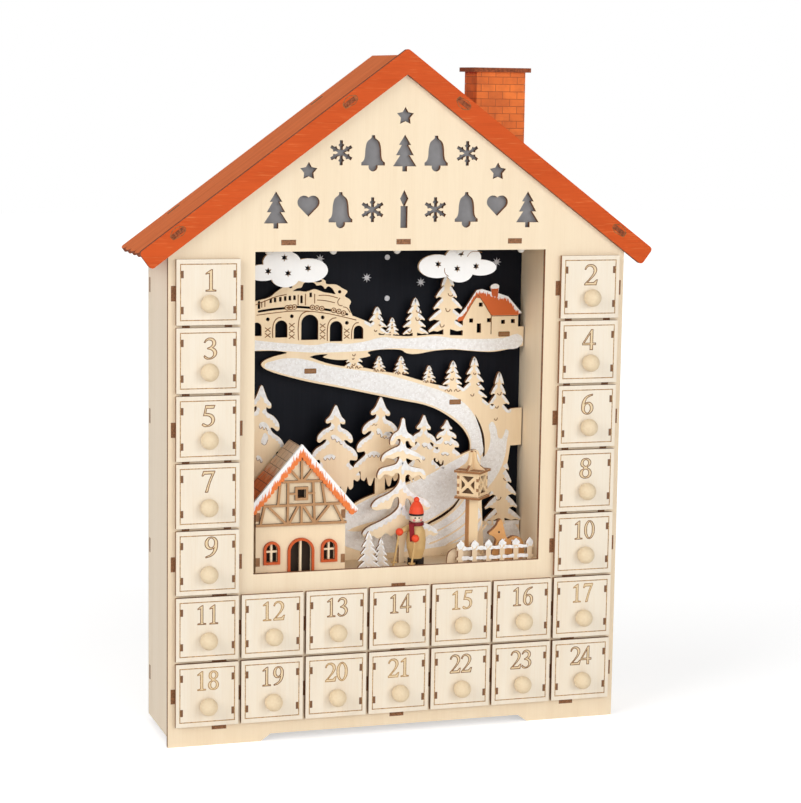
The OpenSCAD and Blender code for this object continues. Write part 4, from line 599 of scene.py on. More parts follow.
BOARD_SNOW = {
    "plateau_snow": [
        (6, 697), (60, 700), (120, 694), (170, 688), (230, 683), (290, 678), (345, 684), (400, 680),
        (460, 686), (520, 698), (570, 692), (630, 694), (700, 698), (760, 690), (820, 687), (880, 686),
        (930, 688), (992, 694), (992, 664), (930, 652), (870, 648), (800, 653), (750, 658), (690, 655),
        (620, 660), (560, 663), (500, 660), (455, 657), (380, 655), (300, 655), (220, 660), (120, 667),
        (6, 668)],
    "road_snow": [
        (130, 618), (160, 633), (220, 640), (270, 633), (330, 616), (420, 601), (500, 589), (580, 570),
        (660, 546), (740, 519), (800, 486), (833, 450), (852, 412), (864, 368), (862, 320), (830, 318),
        (827, 345), (820, 382), (787, 425), (725, 466), (662, 491), (582, 508), (480, 530), (371, 553),
        (265, 575), (160, 603)],
    "fork_snow": [
        (895, 425), (910, 410), (928, 370), (940, 385), (948, 400), (950, 360), (940, 300), (915, 250),
        (880, 210), (840, 170), (800, 140), (775, 150), (790, 230), (830, 285), (880, 325), (893, 370)],
    "ground_snow": [
        (842, 97), (900, 95), (950, 98), (985, 97), (985, 0), (830, 0), (830, 60)]}
for name, patch in BOARD_SNOW.items():
    painted_patch(name, [at_all(patch)], LANDSCAPE_DEPTH, glitter_snow)

# Stars of the sky and tenon ends. Painted grey light stands in the holes of the night sky, a pale patch
# in each for the light through the film behind; the brown ends of the spacers come through the snow of the road,
# and the bargeboard's slots are rimmed.
STARS = [(477, 877), (659, 861), (321, 936), (918, 921)]
DOTS = [(545, 939), (546, 813)]
SPACERS = [(280, 599), (768, 491), (932, 700)]
# Painted light: a pale grey patch lies flush in each star and dot hole, brighter than the film behind it.
lit = mottled("light in the sky holes", 400, (0.50, 0.50, 0.53, 1), (0.78, 0.78, 0.80, 1), roughness=0.6)
STAR_TIP, STAR_NOTCH, DOT = 3.55, 1.25, 1.9


def round_points(x, z, radii, turn=0.0):
    """Points round a place, one for each radius, from the top or a turn on from it."""
    angles = [turn + 2 * math.pi * i / len(radii) for i in range(len(radii))]
    return [(x + r * math.sin(angle), z + r * math.cos(angle)) for r, angle in zip(radii, angles)]


shapes = [round_points(*at(*star), (STAR_TIP, STAR_NOTCH) * 8) for star in STARS]
shapes += [round_points(*at(*dot), [DOT] * 16) for dot in DOTS]
painted_patch("sky_hole_painted_light", shapes, BACK_DEPTH + 0.3, lit, smooth=False)
end_grain = mottled("scorched end grain", 700, (0.22, 0.10, 0.045, 1), (0.42, 0.22, 0.10, 1))
ends, rims = [], []
for spacer in SPACERS:
    x, z = at(*spacer)
    ends.append([(x - 4, z - 1.5), (x + 4, z - 1.5), (x + 4, z + 1.5), (x - 4, z + 1.5)])
    rims += [[a, b] for a, b in zip(ends[-1], ends[-1][1:] + ends[-1][:1])]
barge_depth = (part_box("bargeboard")[0][1] - front_face) / MM
LONGEST_RIM = 40
tenon_rims = [loop for loop in front_loops("bargeboard", barge_depth)
              if sum(map(math.dist, loop, loop[1:])) < LONGEST_RIM]
scorched_lines("bargeboard_rims", tenon_rims, barge_depth, 0.28)
painted_patch("spacer_ends", ends, LANDSCAPE_DEPTH - 0.1, end_grain, smooth=False)
scorched_lines("spacer_rims", rims, LANDSCAPE_DEPTH - 0.2)

# Scorched drawing of the landscape: crossed braces and arch rings on the bridge, the lines of
# the engine and its coaches, and curls on the firs and the snow.
bridge_lines = []
for x, low, high, steps in ((140, 702, 736, 2), (218, 697, 748, 3), (319, 693, 745, 3), (399, 694, 728, 2)):
    for i in range(steps):
        z0 = low + (high - low) * i / steps + 2
        z1 = low + (high - low) * (i + 1) / steps - 2
        bridge_lines += [at_all([(x - 9, z0), (x + 9, z1)]), at_all([(x - 9, z1), (x + 9, z0)])]
for x, foot, crown, half in ((184, 703, 764, 28), (277, 694, 781, 37), (364, 690, 760, 29),
                             (438, 694, 744, 23)):
    bridge_lines.append(at_all([(x - half, foot), (x - half, crown - 35), (x - half * 0.85, crown - 14),
                                (x - half * 0.45, crown - 2), (x, crown)]))
bridge_lines += [at_all(line) for line in (
    [(103, 772), (160, 778), (240, 783), (320, 776), (380, 764), (430, 752)],
    [(100, 803), (130, 814), (170, 828), (200, 833)],
    [(120, 795), (120, 812)], [(130, 797), (130, 816)], [(238, 800), (238, 832)],
    [(262, 800), (262, 834)], [(292, 805), (292, 834)],
    [(305, 829), (330, 829), (355, 824), (368, 820)], [(300, 815), (325, 813), (358, 806)],
    [(375, 820), (368, 810), (372, 799), (384, 796)], [(386, 793), (398, 790), (410, 775)])]
WHEELS = [
    (203, 793), (214, 794), (226, 795), (285, 793), (300, 791), (316, 789), (355, 783), (372, 779), (388, 774)]
wheel_rings = []
for wheel in WHEELS:
    for radius in (0.4, 1.6):
        ring = round_points(*at(*wheel), [radius] * 8, math.pi / 2)
        wheel_rings.append(ring + ring[:1])
cottage_lines = [at_all(line) for line in (
    [(840, 824), (862, 795), (885, 762), (890, 757)], [(890, 757), (978, 757)],
    [(887, 757), (887, 700)], [(792, 755), (812, 785), (838, 822)])]
CURL = [(-1, 0.9), (-0.5, -0.3), (0.4, -0.1), (0.7, 0.5)]
FOOT_LINES = [[(-1, 1.2), (-0.8, 2.6), (-0.5, 0.8), (-0.3, 2.4), (-0.1, 0.9)],
              [(0.2, 0.9), (0.45, 2.4), (0.6, 0.9), (1, 1.8)]]
curls = []
for place_x, foot, top, width in FAR_FIRS:
    for drop in (0.34, 0.55, 0.78):
        x, z = at(place_x + (random.random() - 0.5) * width * 0.6 * drop,
                  top + (foot - top) * (drop + random.random() * 0.08))
        r = width / 1000 * SCENE_W * (0.05 + 0.04 * random.random())
        side = random.choice((-1, 1)) * r
        curls.append([(x + side * along, z + r * up) for along, up in CURL])
for place_x, foot, top, width in FAR_FIRS[4:9]:
    x, z = at(place_x, foot)
    w = width / 1000 * SCENE_W * 0.34
    curls += [[(x + w * along, z + up) for along, up in line] for line in FOOT_LINES]
drawing = bridge_lines + wheel_rings + cottage_lines + curls
scorched_lines("landscape_drawing", drawing, LANDSCAPE_DEPTH - 0.1)

# Cottage roof and chimney. Orange paint with snow dragged down from the roof's ridge, and
# a cap of white on the chimney.
ORANGE = (0.66, 0.135, 0.03, 1)


def make_streak_group():
    """Snow dragged over paint from an edge: Depth runs from the snowy edge inwards."""
    tree, given, out = new_group(
        "Dragged snow", {"Paint": ORANGE, "Snow": SNOW, "Depth": 0.0, "Reach": 0.003}, Color="Color")
    hairs = noise(tree, object_place(tree, (1300, 300, 120)), 1.0, 3, Roughness=0.6)
    limit = times(tree, given["Reach"], math_node(tree, "MULTIPLY_ADD", hairs, 3.6, -0.9))
    soft = ramp(tree, minus(tree, limit, given["Depth"]), -0.0002, 0.0003)
    tree.links.new(mix_colors(tree, soft, given["Paint"], given["Snow"]), out["Color"])
    return tree


dragged_snow = make_streak_group()
material, tree, shader = new_material("snowy orange paint", roughness=0.55)
parts = split(tree, object_place(tree))
under = minus(tree, at(0, 840)[1] * MM, parts[2])
for x, side, slope in ((836, -1, 1.3), (854, 1, 0.28), (944, 1, 0.83)):
    beyond = times(tree, minus(tree, parts[0], at(x, 0)[0] * MM), side)
    under = minus(tree, under, times(tree, math_node(tree, "MAXIMUM", beyond, 0.0), slope))
snowy = use_group(tree, dragged_snow, Paint=ORANGE, Depth=under, Reach=0.0027)
finish_surface(tree, shader, snowy["Color"])
COTTAGE_ROOF = [
    (767, 751), (775, 742), (790, 745), (810, 778), (832, 815), (850, 812), (885, 759), (979, 759), (992, 766),
    (944, 817), (909, 828), (912, 848), (882, 848), (886, 832), (854, 841), (835, 838), (799, 786)]
painted_patch("cottage_roof", [at_all(COTTAGE_ROOF)], LANDSCAPE_DEPTH, material, smooth=False)
brick = mottled("orange chimney paint", 500, (0.50, 0.09, 0.02, 1), ORANGE, roughness=0.55)
painted_patch("cottage_chimney", [at_all([(884, 848), (910, 848), (908, 815), (887, 820)])],
              LANDSCAPE_DEPTH - 0.1, brick, smooth=False)
painted_patch("cottage_chimney_snow", [at_all([(883, 845), (885, 853), (910, 853), (910, 845), (897, 842)])],
              LANDSCAPE_DEPTH - 0.2, white_paint)

# Forest board. Five tall firs on a snowy hill, with glitter on the slope and a sledge
# track cut through it.
FOREST_FIRS = [
    (110, 234, 566, 190), (353, 221, 499, 180), (502, 242, 520, 180), (648, 240, 460, 132),
    (726, 302, 442, 104)]
FOREST_DEPTH = 47
dress("forest_board", scene_wood("forest board"))
settled_snow("forest_snow", "forest_board", FOREST_DEPTH, fir_boxes(FOREST_FIRS), 3.1, 3.4)
TIP = [(0, -0.9), (0.7, -2.2), (1.1, -4.6), (0.9, -7.2), (0, -8), (-0.9, -7), (-1.1, -4.4), (-0.7, -2.2)]


def snowy_tips(name, tips, depth):
    """Snow over the middle of a fir's tips, where the snow of both sides meets."""
    patches = [[(x + across, z + up) for across, up in TIP] for x, z in tips]
    painted_patch(name, patches, depth - 0.25, snow_paint)


snowy_tips("forest_tips", [at(x, top) for x, _, top, _ in FOREST_FIRS], FOREST_DEPTH)
HILL_SNOW = [
    [(390, 165), (440, 195), (500, 218), (570, 237), (670, 274), (760, 318), (820, 338), (834, 330),
    (840, 280), (842, 200), (800, 200), (785, 210), (755, 180), (710, 152), (655, 126), (600, 120), (500, 135),
    (420, 120), (380, 110), (370, 140)],
    [(360, 95), (440, 105), (520, 115), (600, 100), (660, 105), (715, 130), (755, 158), (780, 190), (830, 175),
    (842, 90), (760, 55), (660, 40), (520, 35), (420, 50)],
    [(20, 180), (100, 180), (200, 170), (300, 155), (330, 130), (200, 120), (20, 120)]]
for i, patch in enumerate(HILL_SNOW):
    painted_patch("hill_snow_%d" % i, [at_all(patch)], FOREST_DEPTH, glitter_snow)
SLIT = [(620, 105), (660, 120), (710, 145), (750, 172), (776, 202)]
streaks = []
for k, (start, fat) in enumerate(((0, 4), (1, 3), (0, 5), (1, 3), (0, 4))):
    line = [(x + 20 * k + 10, z - 8 - 21 * k) for x, z in SLIT[start:]]
    streaks.append(line + [(x + 3, z - fat * (1 - abs(2 * i / (len(line) - 1) - 1) / 1.4))
                           for i, (x, z) in reversed(list(enumerate(line)))])
streaks = [[(x, max(z, 20)) for x, z in line] for line in streaks]
painted_patch("hill_streaks", [at_all(line) for line in streaks], FOREST_DEPTH - 0.1,
              scene_wood("hill streak plywood"))


def drape(start, end, lobes, sag, thick):
    """Snow hanging inside a fir: its scalloped lower line, and the outline of its paint."""
    line = []
    for k in range(2 * lobes + 1):
        share = k / (2 * lobes)
        x, z = (a + (b - a) * share for a, b in zip(start, end))
        line.append((x, z - (sag if k % 2 else 0)))
    (x0, z0), (x1, z1) = start, end
    crown = [(x0 + (x1 - x0) * share, z0 + (z1 - z0) * share + thick * lift)
             for share, lift in ((0.85, 0.9), (0.5, 1.3), (0.15, 0.9))]
    return line, line + crown


# Drapes of a fir: start and end as shares of half its width and of its crown, lobes, sag
# and thickness in millimetres
CROWNS = [
    (110, 566, 164, 332), (353, 499, 160, 278), (502, 520, 160, 278), (648, 460, 118, 220), (726, 442, 92, 140)]
DRAPES = [
    (0, -0.1, 0.37, 0.3, 0.4, 3, 1.8, 2.8), (0, 0.0, 0.53, 0.26, 0.5, 1, 2.6, 4.5),
    (0, -0.2, 0.66, 0.05, 0.7, 2, 1.6, 2.0), (1, -0.2, 0.345, 0.3, 0.43, 3, 1.6, 2.2),
    (1, -0.5, 0.585, 0.0, 0.575, 3, 1.7, 1.8), (1, -0.42, 0.268, -0.1, 0.262, 2, 1.3, 0.0),
    (2, -0.17, 0.375, 0.1, 0.44, 2, 1.8, 2.6), (2, 0.1, 0.44, 0.5, 0.455, 3, 1.4, 2.8),
    (2, -0.52, 0.64, 0.0, 0.645, 3, 1.8, 2.0), (2, -0.4, 0.295, -0.15, 0.3, 2, 1.2, 0.0),
    (3, -0.1, 0.42, 0.4, 0.47, 2, 1.3, 1.9), (3, -0.45, 0.6, 0.1, 0.62, 3, 1.3, 1.5),
    (4, -0.2, 0.5, 0.4, 0.55, 2, 1.0, 1.3), (4, -0.4, 0.75, 0.2, 0.77, 2, 1.0, 1.2)]
lines, patches = [], []
for fir, x0, drop0, x1, drop1, lobes, sag, thick in DRAPES:
    place_x, top, width, crown = CROWNS[fir]
    ends = [at(place_x + x * width / 2, top - drop * crown) for x, drop in ((x0, drop0), (x1, drop1))]
    line, patch = drape(*ends, lobes, sag, thick)
    lines.append(line)
    if thick:
        patches.append(patch)
painted_patch("forest_drapes", patches, FOREST_DEPTH, snow_paint)
scorched_lines("forest_drawing", lines, FOREST_DEPTH - 0.1, 0.2)

# Tall near fir, the two little firs and the mound. Cut from thinner board with long drooping
# boughs, snow thick on each bough, and silvery paint all over the little ones.
dress("near_fir", scene_wood("near fir board"))
NEAR_DEPTH = 30
settled_snow("near_fir_snow", "near_fir", NEAR_DEPTH, fir_boxes([(553, 80, 465, 280)]), 4.2, 3.6)
near_x, near_top = at(553, 465)
snowy_tips("near_tips", [(near_x, near_top - drop) for drop in (0, 5.5, 32)], NEAR_DEPTH)
LITTLE_PLACES = ((-18.8, 9.5, 27.5, 16.7), (-8.7, 13.5, 21.8, 12.3))
material, tree, shader = new_material("silvery paint on board")
wood = use_group(tree, cut_plywood, Grain_Scale=GRAIN_UP, Face=(0.72, 0.56, 0.38, 1))
dabs = noise(tree, object_place(tree), 520, 3)
little = use_group(tree, painted_box, Low=(-30 * MM, depth_y(9), 0.110),
                   High=(-MM, depth_y(16), 0.15))["Mask"]
cover = times(tree, little, math_node(tree, "MULTIPLY_ADD", ramp(tree, dabs, 0.35, 0.62), -0.55, 0.95))
cover = times(tree, cover, minus(tree, 1.0, wood["Edge"]))
finish_surface(tree, shader, mix_colors(tree, cover, wood["Color"], (0.70, 0.66, 0.63, 1)), dabs, 0.2)
dress("little_firs", material)
for i, (x, depth, high, wide) in enumerate(LITTLE_PLACES):
    box = (x - wide * 0.6, x + wide * 0.6, STAND_Z + 3, STAND_Z + high)
    settled_snow("little_fir_snow_%d" % i, "little_firs", depth, [box], 0.9, 1.2)

# Little half-timbered house. Cream board walls with scorched corner fingers, brown timbers
# laid on, and orange frames round its door and windows.
dress("house_walls", plywood("house wall plywood", AXIS_Y, GRAIN_UP, Face=(0.90, 0.71, 0.48, 1), Streaks=0.3,
                             Second_Axis=AXIS_X))
dress("house_timbering", plywood("timber brown", AXIS_Y, GRAIN_UP, Face=(0.50, 0.27, 0.125, 1),
                                 Grain=(0.36, 0.18, 0.08, 1), Burn=(0.06, 0.028, 0.014, 1), Streaks=0.8))
dress("house_trims", plywood("orange window frames", AXIS_Y, GRAIN_UP, Face=(0.60, 0.10, 0.02, 1),
                             Grain=(0.45, 0.06, 0.012, 1), Burn=(0.25, 0.04, 0.01, 1), Streaks=0.6))

# Roof of the little house. Two sheets scorched with tiles, grey-brown at the ridge and
# red-brown below, behind a scalloped bargeboard with dragged snow.
HOUSE_X, HOUSE_RIDGE, HOUSE_PITCH = -67.3, 197.49, math.radians(49)
material, tree, shader = new_material("scorched tiles", roughness=0.6)
parts = split(tree, object_place(tree))
slant = math_node(tree, "DIVIDE", parts[2], math.sin(HOUSE_PITCH))
laid = add_node(tree, "ShaderNodeCombineXYZ", {0: parts[1], 1: slant})
tiles = add_node(tree, "ShaderNodeTexBrick", {
    "Vector": laid.outputs[0], "Scale": 1.0, "Mortar Size": 0.00022, "Mortar Smooth": 0.1, "Bias": 0.0,
    "Brick Width": 0.0085, "Row Height": 0.0068, "Color1": (0.78, 0.20, 0.05, 1),
    "Color2": (0.66, 0.155, 0.04, 1), "Mortar": (0.09, 0.03, 0.015, 1)})
fibres = noise(tree, object_place(tree, (200, 1600, 200)), detail=3)
top = math_node(tree, "ADD", parts[2], math_node(tree, "MULTIPLY_ADD", fibres, 0.03, -0.015))
grey = ramp(tree, top, 0.177, 0.186)
weathered = mix_colors(tree, fibres, (0.62, 0.43, 0.29, 1), (0.95, 0.76, 0.59, 1))
lines = times(tree, tiles.outputs["Fac"], 0.8)
weathered = mix_colors(tree, lines, weathered, (0.12, 0.07, 0.05, 1))
color = mix_colors(tree, grey, tiles.outputs["Color"], weathered)
finish_surface(tree, shader, color, minus(tree, 1.0, tiles.outputs["Fac"]), 0.4, 0.0003)
dress("house_roof", material)
material, tree, shader = new_material("snowy bargeboard", roughness=0.55)
parts = split(tree, object_place(tree))
aside = math_node(tree, "ABSOLUTE", minus(tree, parts[0], HOUSE_X * MM))
OUTER = (HOUSE_RIDGE + 3.2 / math.cos(HOUSE_PITCH)) * MM
outer_line = minus(tree, OUTER, times(tree, aside, math.tan(HOUSE_PITCH)))
inward = times(tree, minus(tree, outer_line, parts[2]), math.cos(HOUSE_PITCH))
snowy = use_group(tree, dragged_snow, Paint=(0.80, 0.20, 0.045, 1), Depth=inward, Reach=0.0031)
finish_surface(tree, shader, snowy["Color"])
dress("house_bargeboard", material)

# Corner fingers and dark rooms of the little house. The ends of its side walls show brown
# through the front, and a dark sheet behind its door and windows is painted shade for the dark rooms inside.
HOUSE_DEPTH, HOUSE_HALF = 9.5, 31.5
fingers = []
for side in (-1, 1):
    for low in (7, 38):
        x0, x1 = sorted((HOUSE_X + side * HOUSE_HALF, HOUSE_X + side * (HOUSE_HALF - 3)))
        z0, z1 = STAND_Z + low, STAND_Z + low + 6
        fingers.append([(x0, z0), (x1, z0), (x1, z1), (x0, z1)])
painted_patch("house_finger_ends", fingers, HOUSE_DEPTH, end_grain, smooth=False, lift=0.1)
# Painted shade: a near-black sheet inside the house stands in for the shade of its rooms, seen through the door
# and windows.
painted_room_shade = mottled("painted shade of the rooms", 90, (0.018, 0.011, 0.008, 1), (0.06, 0.038, 0.025, 1), roughness=0.8)
ROOM = [(-27, 0.5), (27, 0.5), (27, 50), (8, 72), (-8, 72), (-27, 50)]
room = [(HOUSE_X + across, STAND_Z + up) for across, up in ROOM]
painted_patch("house_dark_room", [room], HOUSE_DEPTH + 4.5, painted_room_shade, smooth=False)

# Street lantern. Pale board slotted together on a square post, its lattice panes and plates
# edged in brown, with a dark brown box inside as painted shade and its finger ends showing.
TURN = math.radians(48)
CAGE_Z, CAGE_H, CAGE_HALF = 48.0, 16.4, 8.2
LANTERN_PLACE = 773.5
material, tree, shader = new_material("lantern plywood")
wood = use_group(tree, cut_plywood, Plate_Axis=(math.cos(TURN), math.sin(TURN), 0), Grain_Scale=GRAIN_UP,
                 Second_Axis=(-math.sin(TURN), math.cos(TURN), 0), Face=(0.84, 0.62, 0.37, 1),
                 Burn=(0.20, 0.09, 0.04, 1))
lantern_x = at(LANTERN_PLACE, 0)[0]
POST_HALF, POST_HIGH = 3.5, 46.0
post_left, post_top = (lantern_x - POST_HALF) * MM, (STAND_Z + POST_HIGH) * MM
color = paint_box(tree, wood["Color"], (0.52, 0.24, 0.085, 1), (post_left - MM, depth_y(10), STAND_Z * MM),
                  (post_left + 0.45 * MM, depth_y(30), post_top))
for low, high in ((POST_HIGH, 47.75), (CAGE_Z + CAGE_H + 0.1, CAGE_Z + CAGE_H + 1.7)):
    color = paint_box(tree, color, (0.30, 0.13, 0.05, 1), (0, depth_y(0), (STAND_Z + low) * MM),
                      (0.1, depth_y(45), (STAND_Z + high) * MM))
finish_surface(tree, shader, color, wood["Height"])
dress("lantern", material)
# Painted shade: a dark brown box inside the cage darkens its openings, standing in for the shadowed inner faces.
film = mottled("brown painted shade in the lantern", 150, (0.05, 0.026, 0.013, 1), (0.21, 0.12, 0.06, 1), roughness=0.5)


def turned_boxes(name, boxes, material):
    """Boxes in the lantern's own turned frame, each a quarter turn, a middle and its sizes in mm."""
    shape = bmesh.new()
    stand = Matrix.Translation((lantern_x * MM, depth_y(21), STAND_Z * MM))
    for quarter, middle, sizes in boxes:
        turned = stand @ Matrix.Rotation(TURN + quarter * math.pi / 2, 4, "Z")
        sized = Matrix.Translation(Vector(middle) * MM) @ Matrix.Diagonal((*(MM * size for size in sizes), 1))
        bmesh.ops.create_cube(shape, size=1, matrix=turned @ sized)
    add_piece(name, mesh_of(name, shape), material)


# The dark brown box inside the cage: painted shade.
turned_boxes("lantern_painted_shade", [(0, (0, 0, 56.1), (11.8, 11.8, 14.6))], film)
marks = [(edge * (CAGE_HALF - 0.9), CAGE_Z + up * CAGE_H)
         for edge, ups in ((-1, (0.3, 0.72)), (1, (0.14, 0.45, 0.8))) for up in ups]
turned_boxes("lantern_finger_marks", [(quarter, (-CAGE_HALF, *mark), (0.16, 1.8, 2.2))
                                      for quarter in range(4) for mark in marks], end_grain)


# Skier. Turned from one piece of wood, with a red hat and mittens, a dark red scarf, black
# boots and a painted face.
def make_ball_group():
    """Paint inside a ball, over the colour below it."""
    tree, given, out = new_group(
        "Painted ball", {"Below": GREY, "Paint": GREY, "Middle": NO_AXIS, "Radius": 0.001}, Color="Color")
    away = vector_node(tree, "DISTANCE", object_place(tree), given["Middle"])
    mask = math_node(tree, "LESS_THAN", away, given["Radius"])
    tree.links.new(mix_colors(tree, mask, given["Below"], given["Paint"]), out["Color"])
    return tree


painted_ball = make_ball_group()


def paint_ball(tree, color, paint, middle, radius):
    """The colour with a ball of paint over it, its radius in millimetres."""
    return use_group(tree, painted_ball, Below=color, Paint=paint, Middle=middle, Radius=radius * MM)[0]


SKIER_H, SKIER_DEPTH = 48, 22
skier_x, _ = at(589, 0)
skier_y = depth_y(SKIER_DEPTH)


def on_skier(across, forward, up):
    """A place on the skier, as shares of its height from the middle of its foot."""
    return (skier_x + across * SKIER_H) * MM, skier_y + forward * SKIER_H * MM, (STAND_Z + up * SKIER_H) * MM


RED = (0.84, 0.08, 0.028, 1)
DARK_RED = (0.20, 0.012, 0.016, 1)
BLACK = (0.018, 0.014, 0.013, 1)
BLUSH = (0.85, 0.25, 0.25, 1)
material, tree, shader = new_material("painted skier", roughness=0.45)
fibres = noise(tree, object_place(tree), 260, 3)
color = mix_colors(tree, fibres, (0.60, 0.38, 0.15, 1), (0.70, 0.47, 0.21, 1))
# Bands of paint from the boots to the hat: paint, half width, foot and top as shares of the height
for paint, half, low, high in (
        (BLACK, 0.13, -0.01, 0.102), ((0.80, 0.66, 0.5, 1), 0.12, 0.633, 0.736), (DARK_RED, 0.12, 0.585, 0.637),
        (BLACK, 0.12, 0.734, 0.762), (RED, 0.12, 0.762, 1.01)):
    color = paint_box(tree, color, paint, on_skier(-half, -half, low), on_skier(half, half, high))
for paint, middle, radius in (
        (RED, (-0.27, -0.05, 0.505), 0.058), (RED, (-0.065, -0.165, 0.42), 0.058),
        (BLUSH, (0.05, -0.078, 0.668), 0.02), (BLUSH, (-0.06, -0.073, 0.668), 0.02),
        (BLACK, (0.012, -0.092, 0.703), 0.012), (BLACK, (-0.045, -0.084, 0.703), 0.012)):
    color = paint_ball(tree, color, paint, on_skier(*middle), radius * SKIER_H)
finish_surface(tree, shader, color, fibres, 0.05)
dress("skier", material)
scarf = mottled("dark red felt", 2600, DARK_RED, (0.30, 0.02, 0.025, 1), roughness=0.85, bump=0.4)
tail = bmesh.new()
hung = Matrix.Translation(on_skier(-0.105, -0.125, 0.5)) @ Matrix.Rotation(math.radians(-4), 4, "Y")
sized = Matrix.Diagonal((0.075, 0.02, 0.26, 1)) @ Matrix.Scale(SKIER_H * MM, 4)
bmesh.ops.create_cube(tail, size=1, matrix=hung @ sized)
bmesh.ops.bevel(tail, geom=list(tail.edges), offset=0.0003, segments=2, profile=0.5, affect="EDGES",
                material=-1)
add_piece("scarf_tail", mesh_of("scarf_tail", tail), scarf)

# Deer. Brown-stained board resting behind the fence, with a dark eye and pale spots on
# its back.
material, tree, shader = new_material("spotted deer")
wood = use_group(tree, cut_plywood, Grain_Scale=GRAIN_ACROSS, Face=(0.74, 0.39, 0.15, 1),
                 Grain=(0.58, 0.27, 0.09, 1), Burn=(0.18, 0.075, 0.03, 1))
color = wood["Color"]
DEER_LONG, DEER_HIGH = 26, 29.2
deer_x, _ = at(898.6, 0)
deer_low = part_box("deer")[0]
for across, up, radius, paint in (
        (-0.227, 0.683, 0.75, BLACK), (0.16, 0.46, 0.6, SNOW), (0.24, 0.5, 0.5, SNOW), (0.33, 0.45, 0.6, SNOW),
        (0.2, 0.38, 0.5, SNOW), (0.3, 0.36, 0.5, SNOW), (-0.06, 0.5, 0.45, SNOW)):
    spot = ((deer_x + across * DEER_LONG) * MM, deer_low[1], (STAND_Z + up * DEER_HIGH) * MM)
    color = paint_ball(tree, color, paint, spot, radius)
finish_surface(tree, shader, color, wood["Height"])
dress("deer", material)

# Picket fence. Bare board with lumpy white snow on its points and along its rails, between
# the pickets.
dress("fence", plywood("fence plywood", AXIS_Y, GRAIN_UP, Face=(0.80, 0.62, 0.42, 1)))
PICKETS, PICKET_HALF, FENCE_HIGH, RAILS = 6, 1.9, 17.5, (0.294, 0.69)
CAP = [
    (0, 1.03), (0.55, 0.97), (1.15, 0.91), (1.5, 0.85), (1.2, 0.79), (1.05, 0.73), (0.55, 0.66), (0.1, 0.7),
    (-0.45, 0.65), (-1, 0.73), (-1.25, 0.79), (-1.45, 0.86), (-1.1, 0.92), (-0.5, 0.98)]
fence_low, fence_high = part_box("fence")
first = fence_low[0] / MM + 1.6 * PICKET_HALF
apart = ((fence_high[0] - fence_low[0]) / MM - 3.2 * PICKET_HALF) / (PICKETS - 1)
shapes = []
for i in range(PICKETS):
    x = first + i * apart
    shapes.append([(x + across * PICKET_HALF * random.uniform(0.85, 1.1),
                    STAND_Z + up * FENCE_HIGH + random.uniform(-0.2, 0.2)) for across, up in CAP])
    for rail in RAILS:
        z = STAND_Z + rail * FENCE_HIGH
        x0 = x + PICKET_HALF * random.uniform(0.3, 1.0)
        x1 = x + (apart if i < PICKETS - 1 else 1.6 * PICKET_HALF) - PICKET_HALF * random.uniform(0.7, 1.0)
        if x1 - x0 < 2:
            continue
        steps = [x0 + (x1 - x0) * k / 5 for k in range(6)]
        shapes.append([(x, z + random.uniform(0.9, 1.7)) for x in steps]
                      + [(x, z - random.uniform(0.8, 1.35)) for x in reversed(steps)])
painted_patch("fence_snow", shapes, HOUSE_DEPTH, snow_paint)

# Lamps, battery case, cover, switch and cells. Moulded black plastic and steel-jacketed
# cells behind the gable, reached from the back.
material = mottled("moulded black plastic", 3000, (0.012, 0.012, 0.013, 1), (0.03, 0.03, 0.032, 1),
                   roughness=0.5, bump=0.25)
for node in ("battery_case", "battery_cover", "light_switch"):
    dress(node, material)
dress("light_strip", mottled("lamp board white", 300, (0.78, 0.76, 0.70, 1), (0.86, 0.84, 0.78, 1),
                             roughness=0.35))
dress("batteries", mottled("steel cell jacket", 1.0, (0.42, 0.42, 0.44, 1), (0.6, 0.6, 0.62, 1),
                           stretch=(1200, 60, 60), roughness=0.35, Metallic=0.9))

# Drawers. Each front is a square of pale plywood with the drawer's sides locked through it,
# a scorched line inside its edge and a turned knob of bare beech.
CELL_W, CELL_H, FRONT_Z = 45.0, 45.2, 36.1
DRAWER_OUT = 3.8
# The drawer's sides and their tenons: place and half thickness or height, from the drawer's middle
SIDE_X, SIDE_HALF, TENON_Z, TENON_HALF, BOTTOM_Z = 17.8, 1.12, 11.8, 2.42, -19.1
drawer_face = depth_y(-DRAWER_OUT)
material, tree, shader = new_material("drawer plywood")
wood = use_group(tree, cut_plywood, Grain_Scale=GRAIN_UP, Face=(0.84, 0.755, 0.625, 1), Streaks=0.35)
parts = split(tree, object_place(tree))
half_w, half_h = CELL_W / 2 * MM, CELL_H / 2 * MM
across = math_node(tree, "ABSOLUTE", math_node(tree, "WRAP", parts[0], half_w, -half_w))
raised = math_node(tree, "WRAP", minus(tree, parts[2], FRONT_Z * MM), half_h, -half_h)
is_side = math_node(tree, "COMPARE", across, SIDE_X * MM, SIDE_HALF * MM)
is_level = math_node(tree, "COMPARE", math_node(tree, "ABSOLUTE", raised), TENON_Z * MM, TENON_HALF * MM)
in_front = math_node(tree, "LESS_THAN", parts[1], drawer_face + 2 * MM)
tenon_end = times(tree, times(tree, is_side, is_level), in_front)
color = mix_colors(tree, tenon_end, wood["Color"], (0.20, 0.095, 0.045, 1))
sides = use_group(tree, cut_plywood, Plate_Axis=AXIS_X, Second_Axis=AXIS_Y, Grain_Scale=GRAIN_DEEP,
                  Streaks=0.35)
bottom = use_group(tree, cut_plywood, Plate_Axis=AXIS_Z, Grain_Scale=GRAIN_DEEP, Streaks=0.35)
is_low = math_node(tree, "LESS_THAN", raised, BOTTOM_Z * MM)
box_color = mix_colors(tree, is_low, sides["Color"], bottom["Color"])
is_box = math_node(tree, "GREATER_THAN", parts[1], drawer_face + 3.8 * MM)
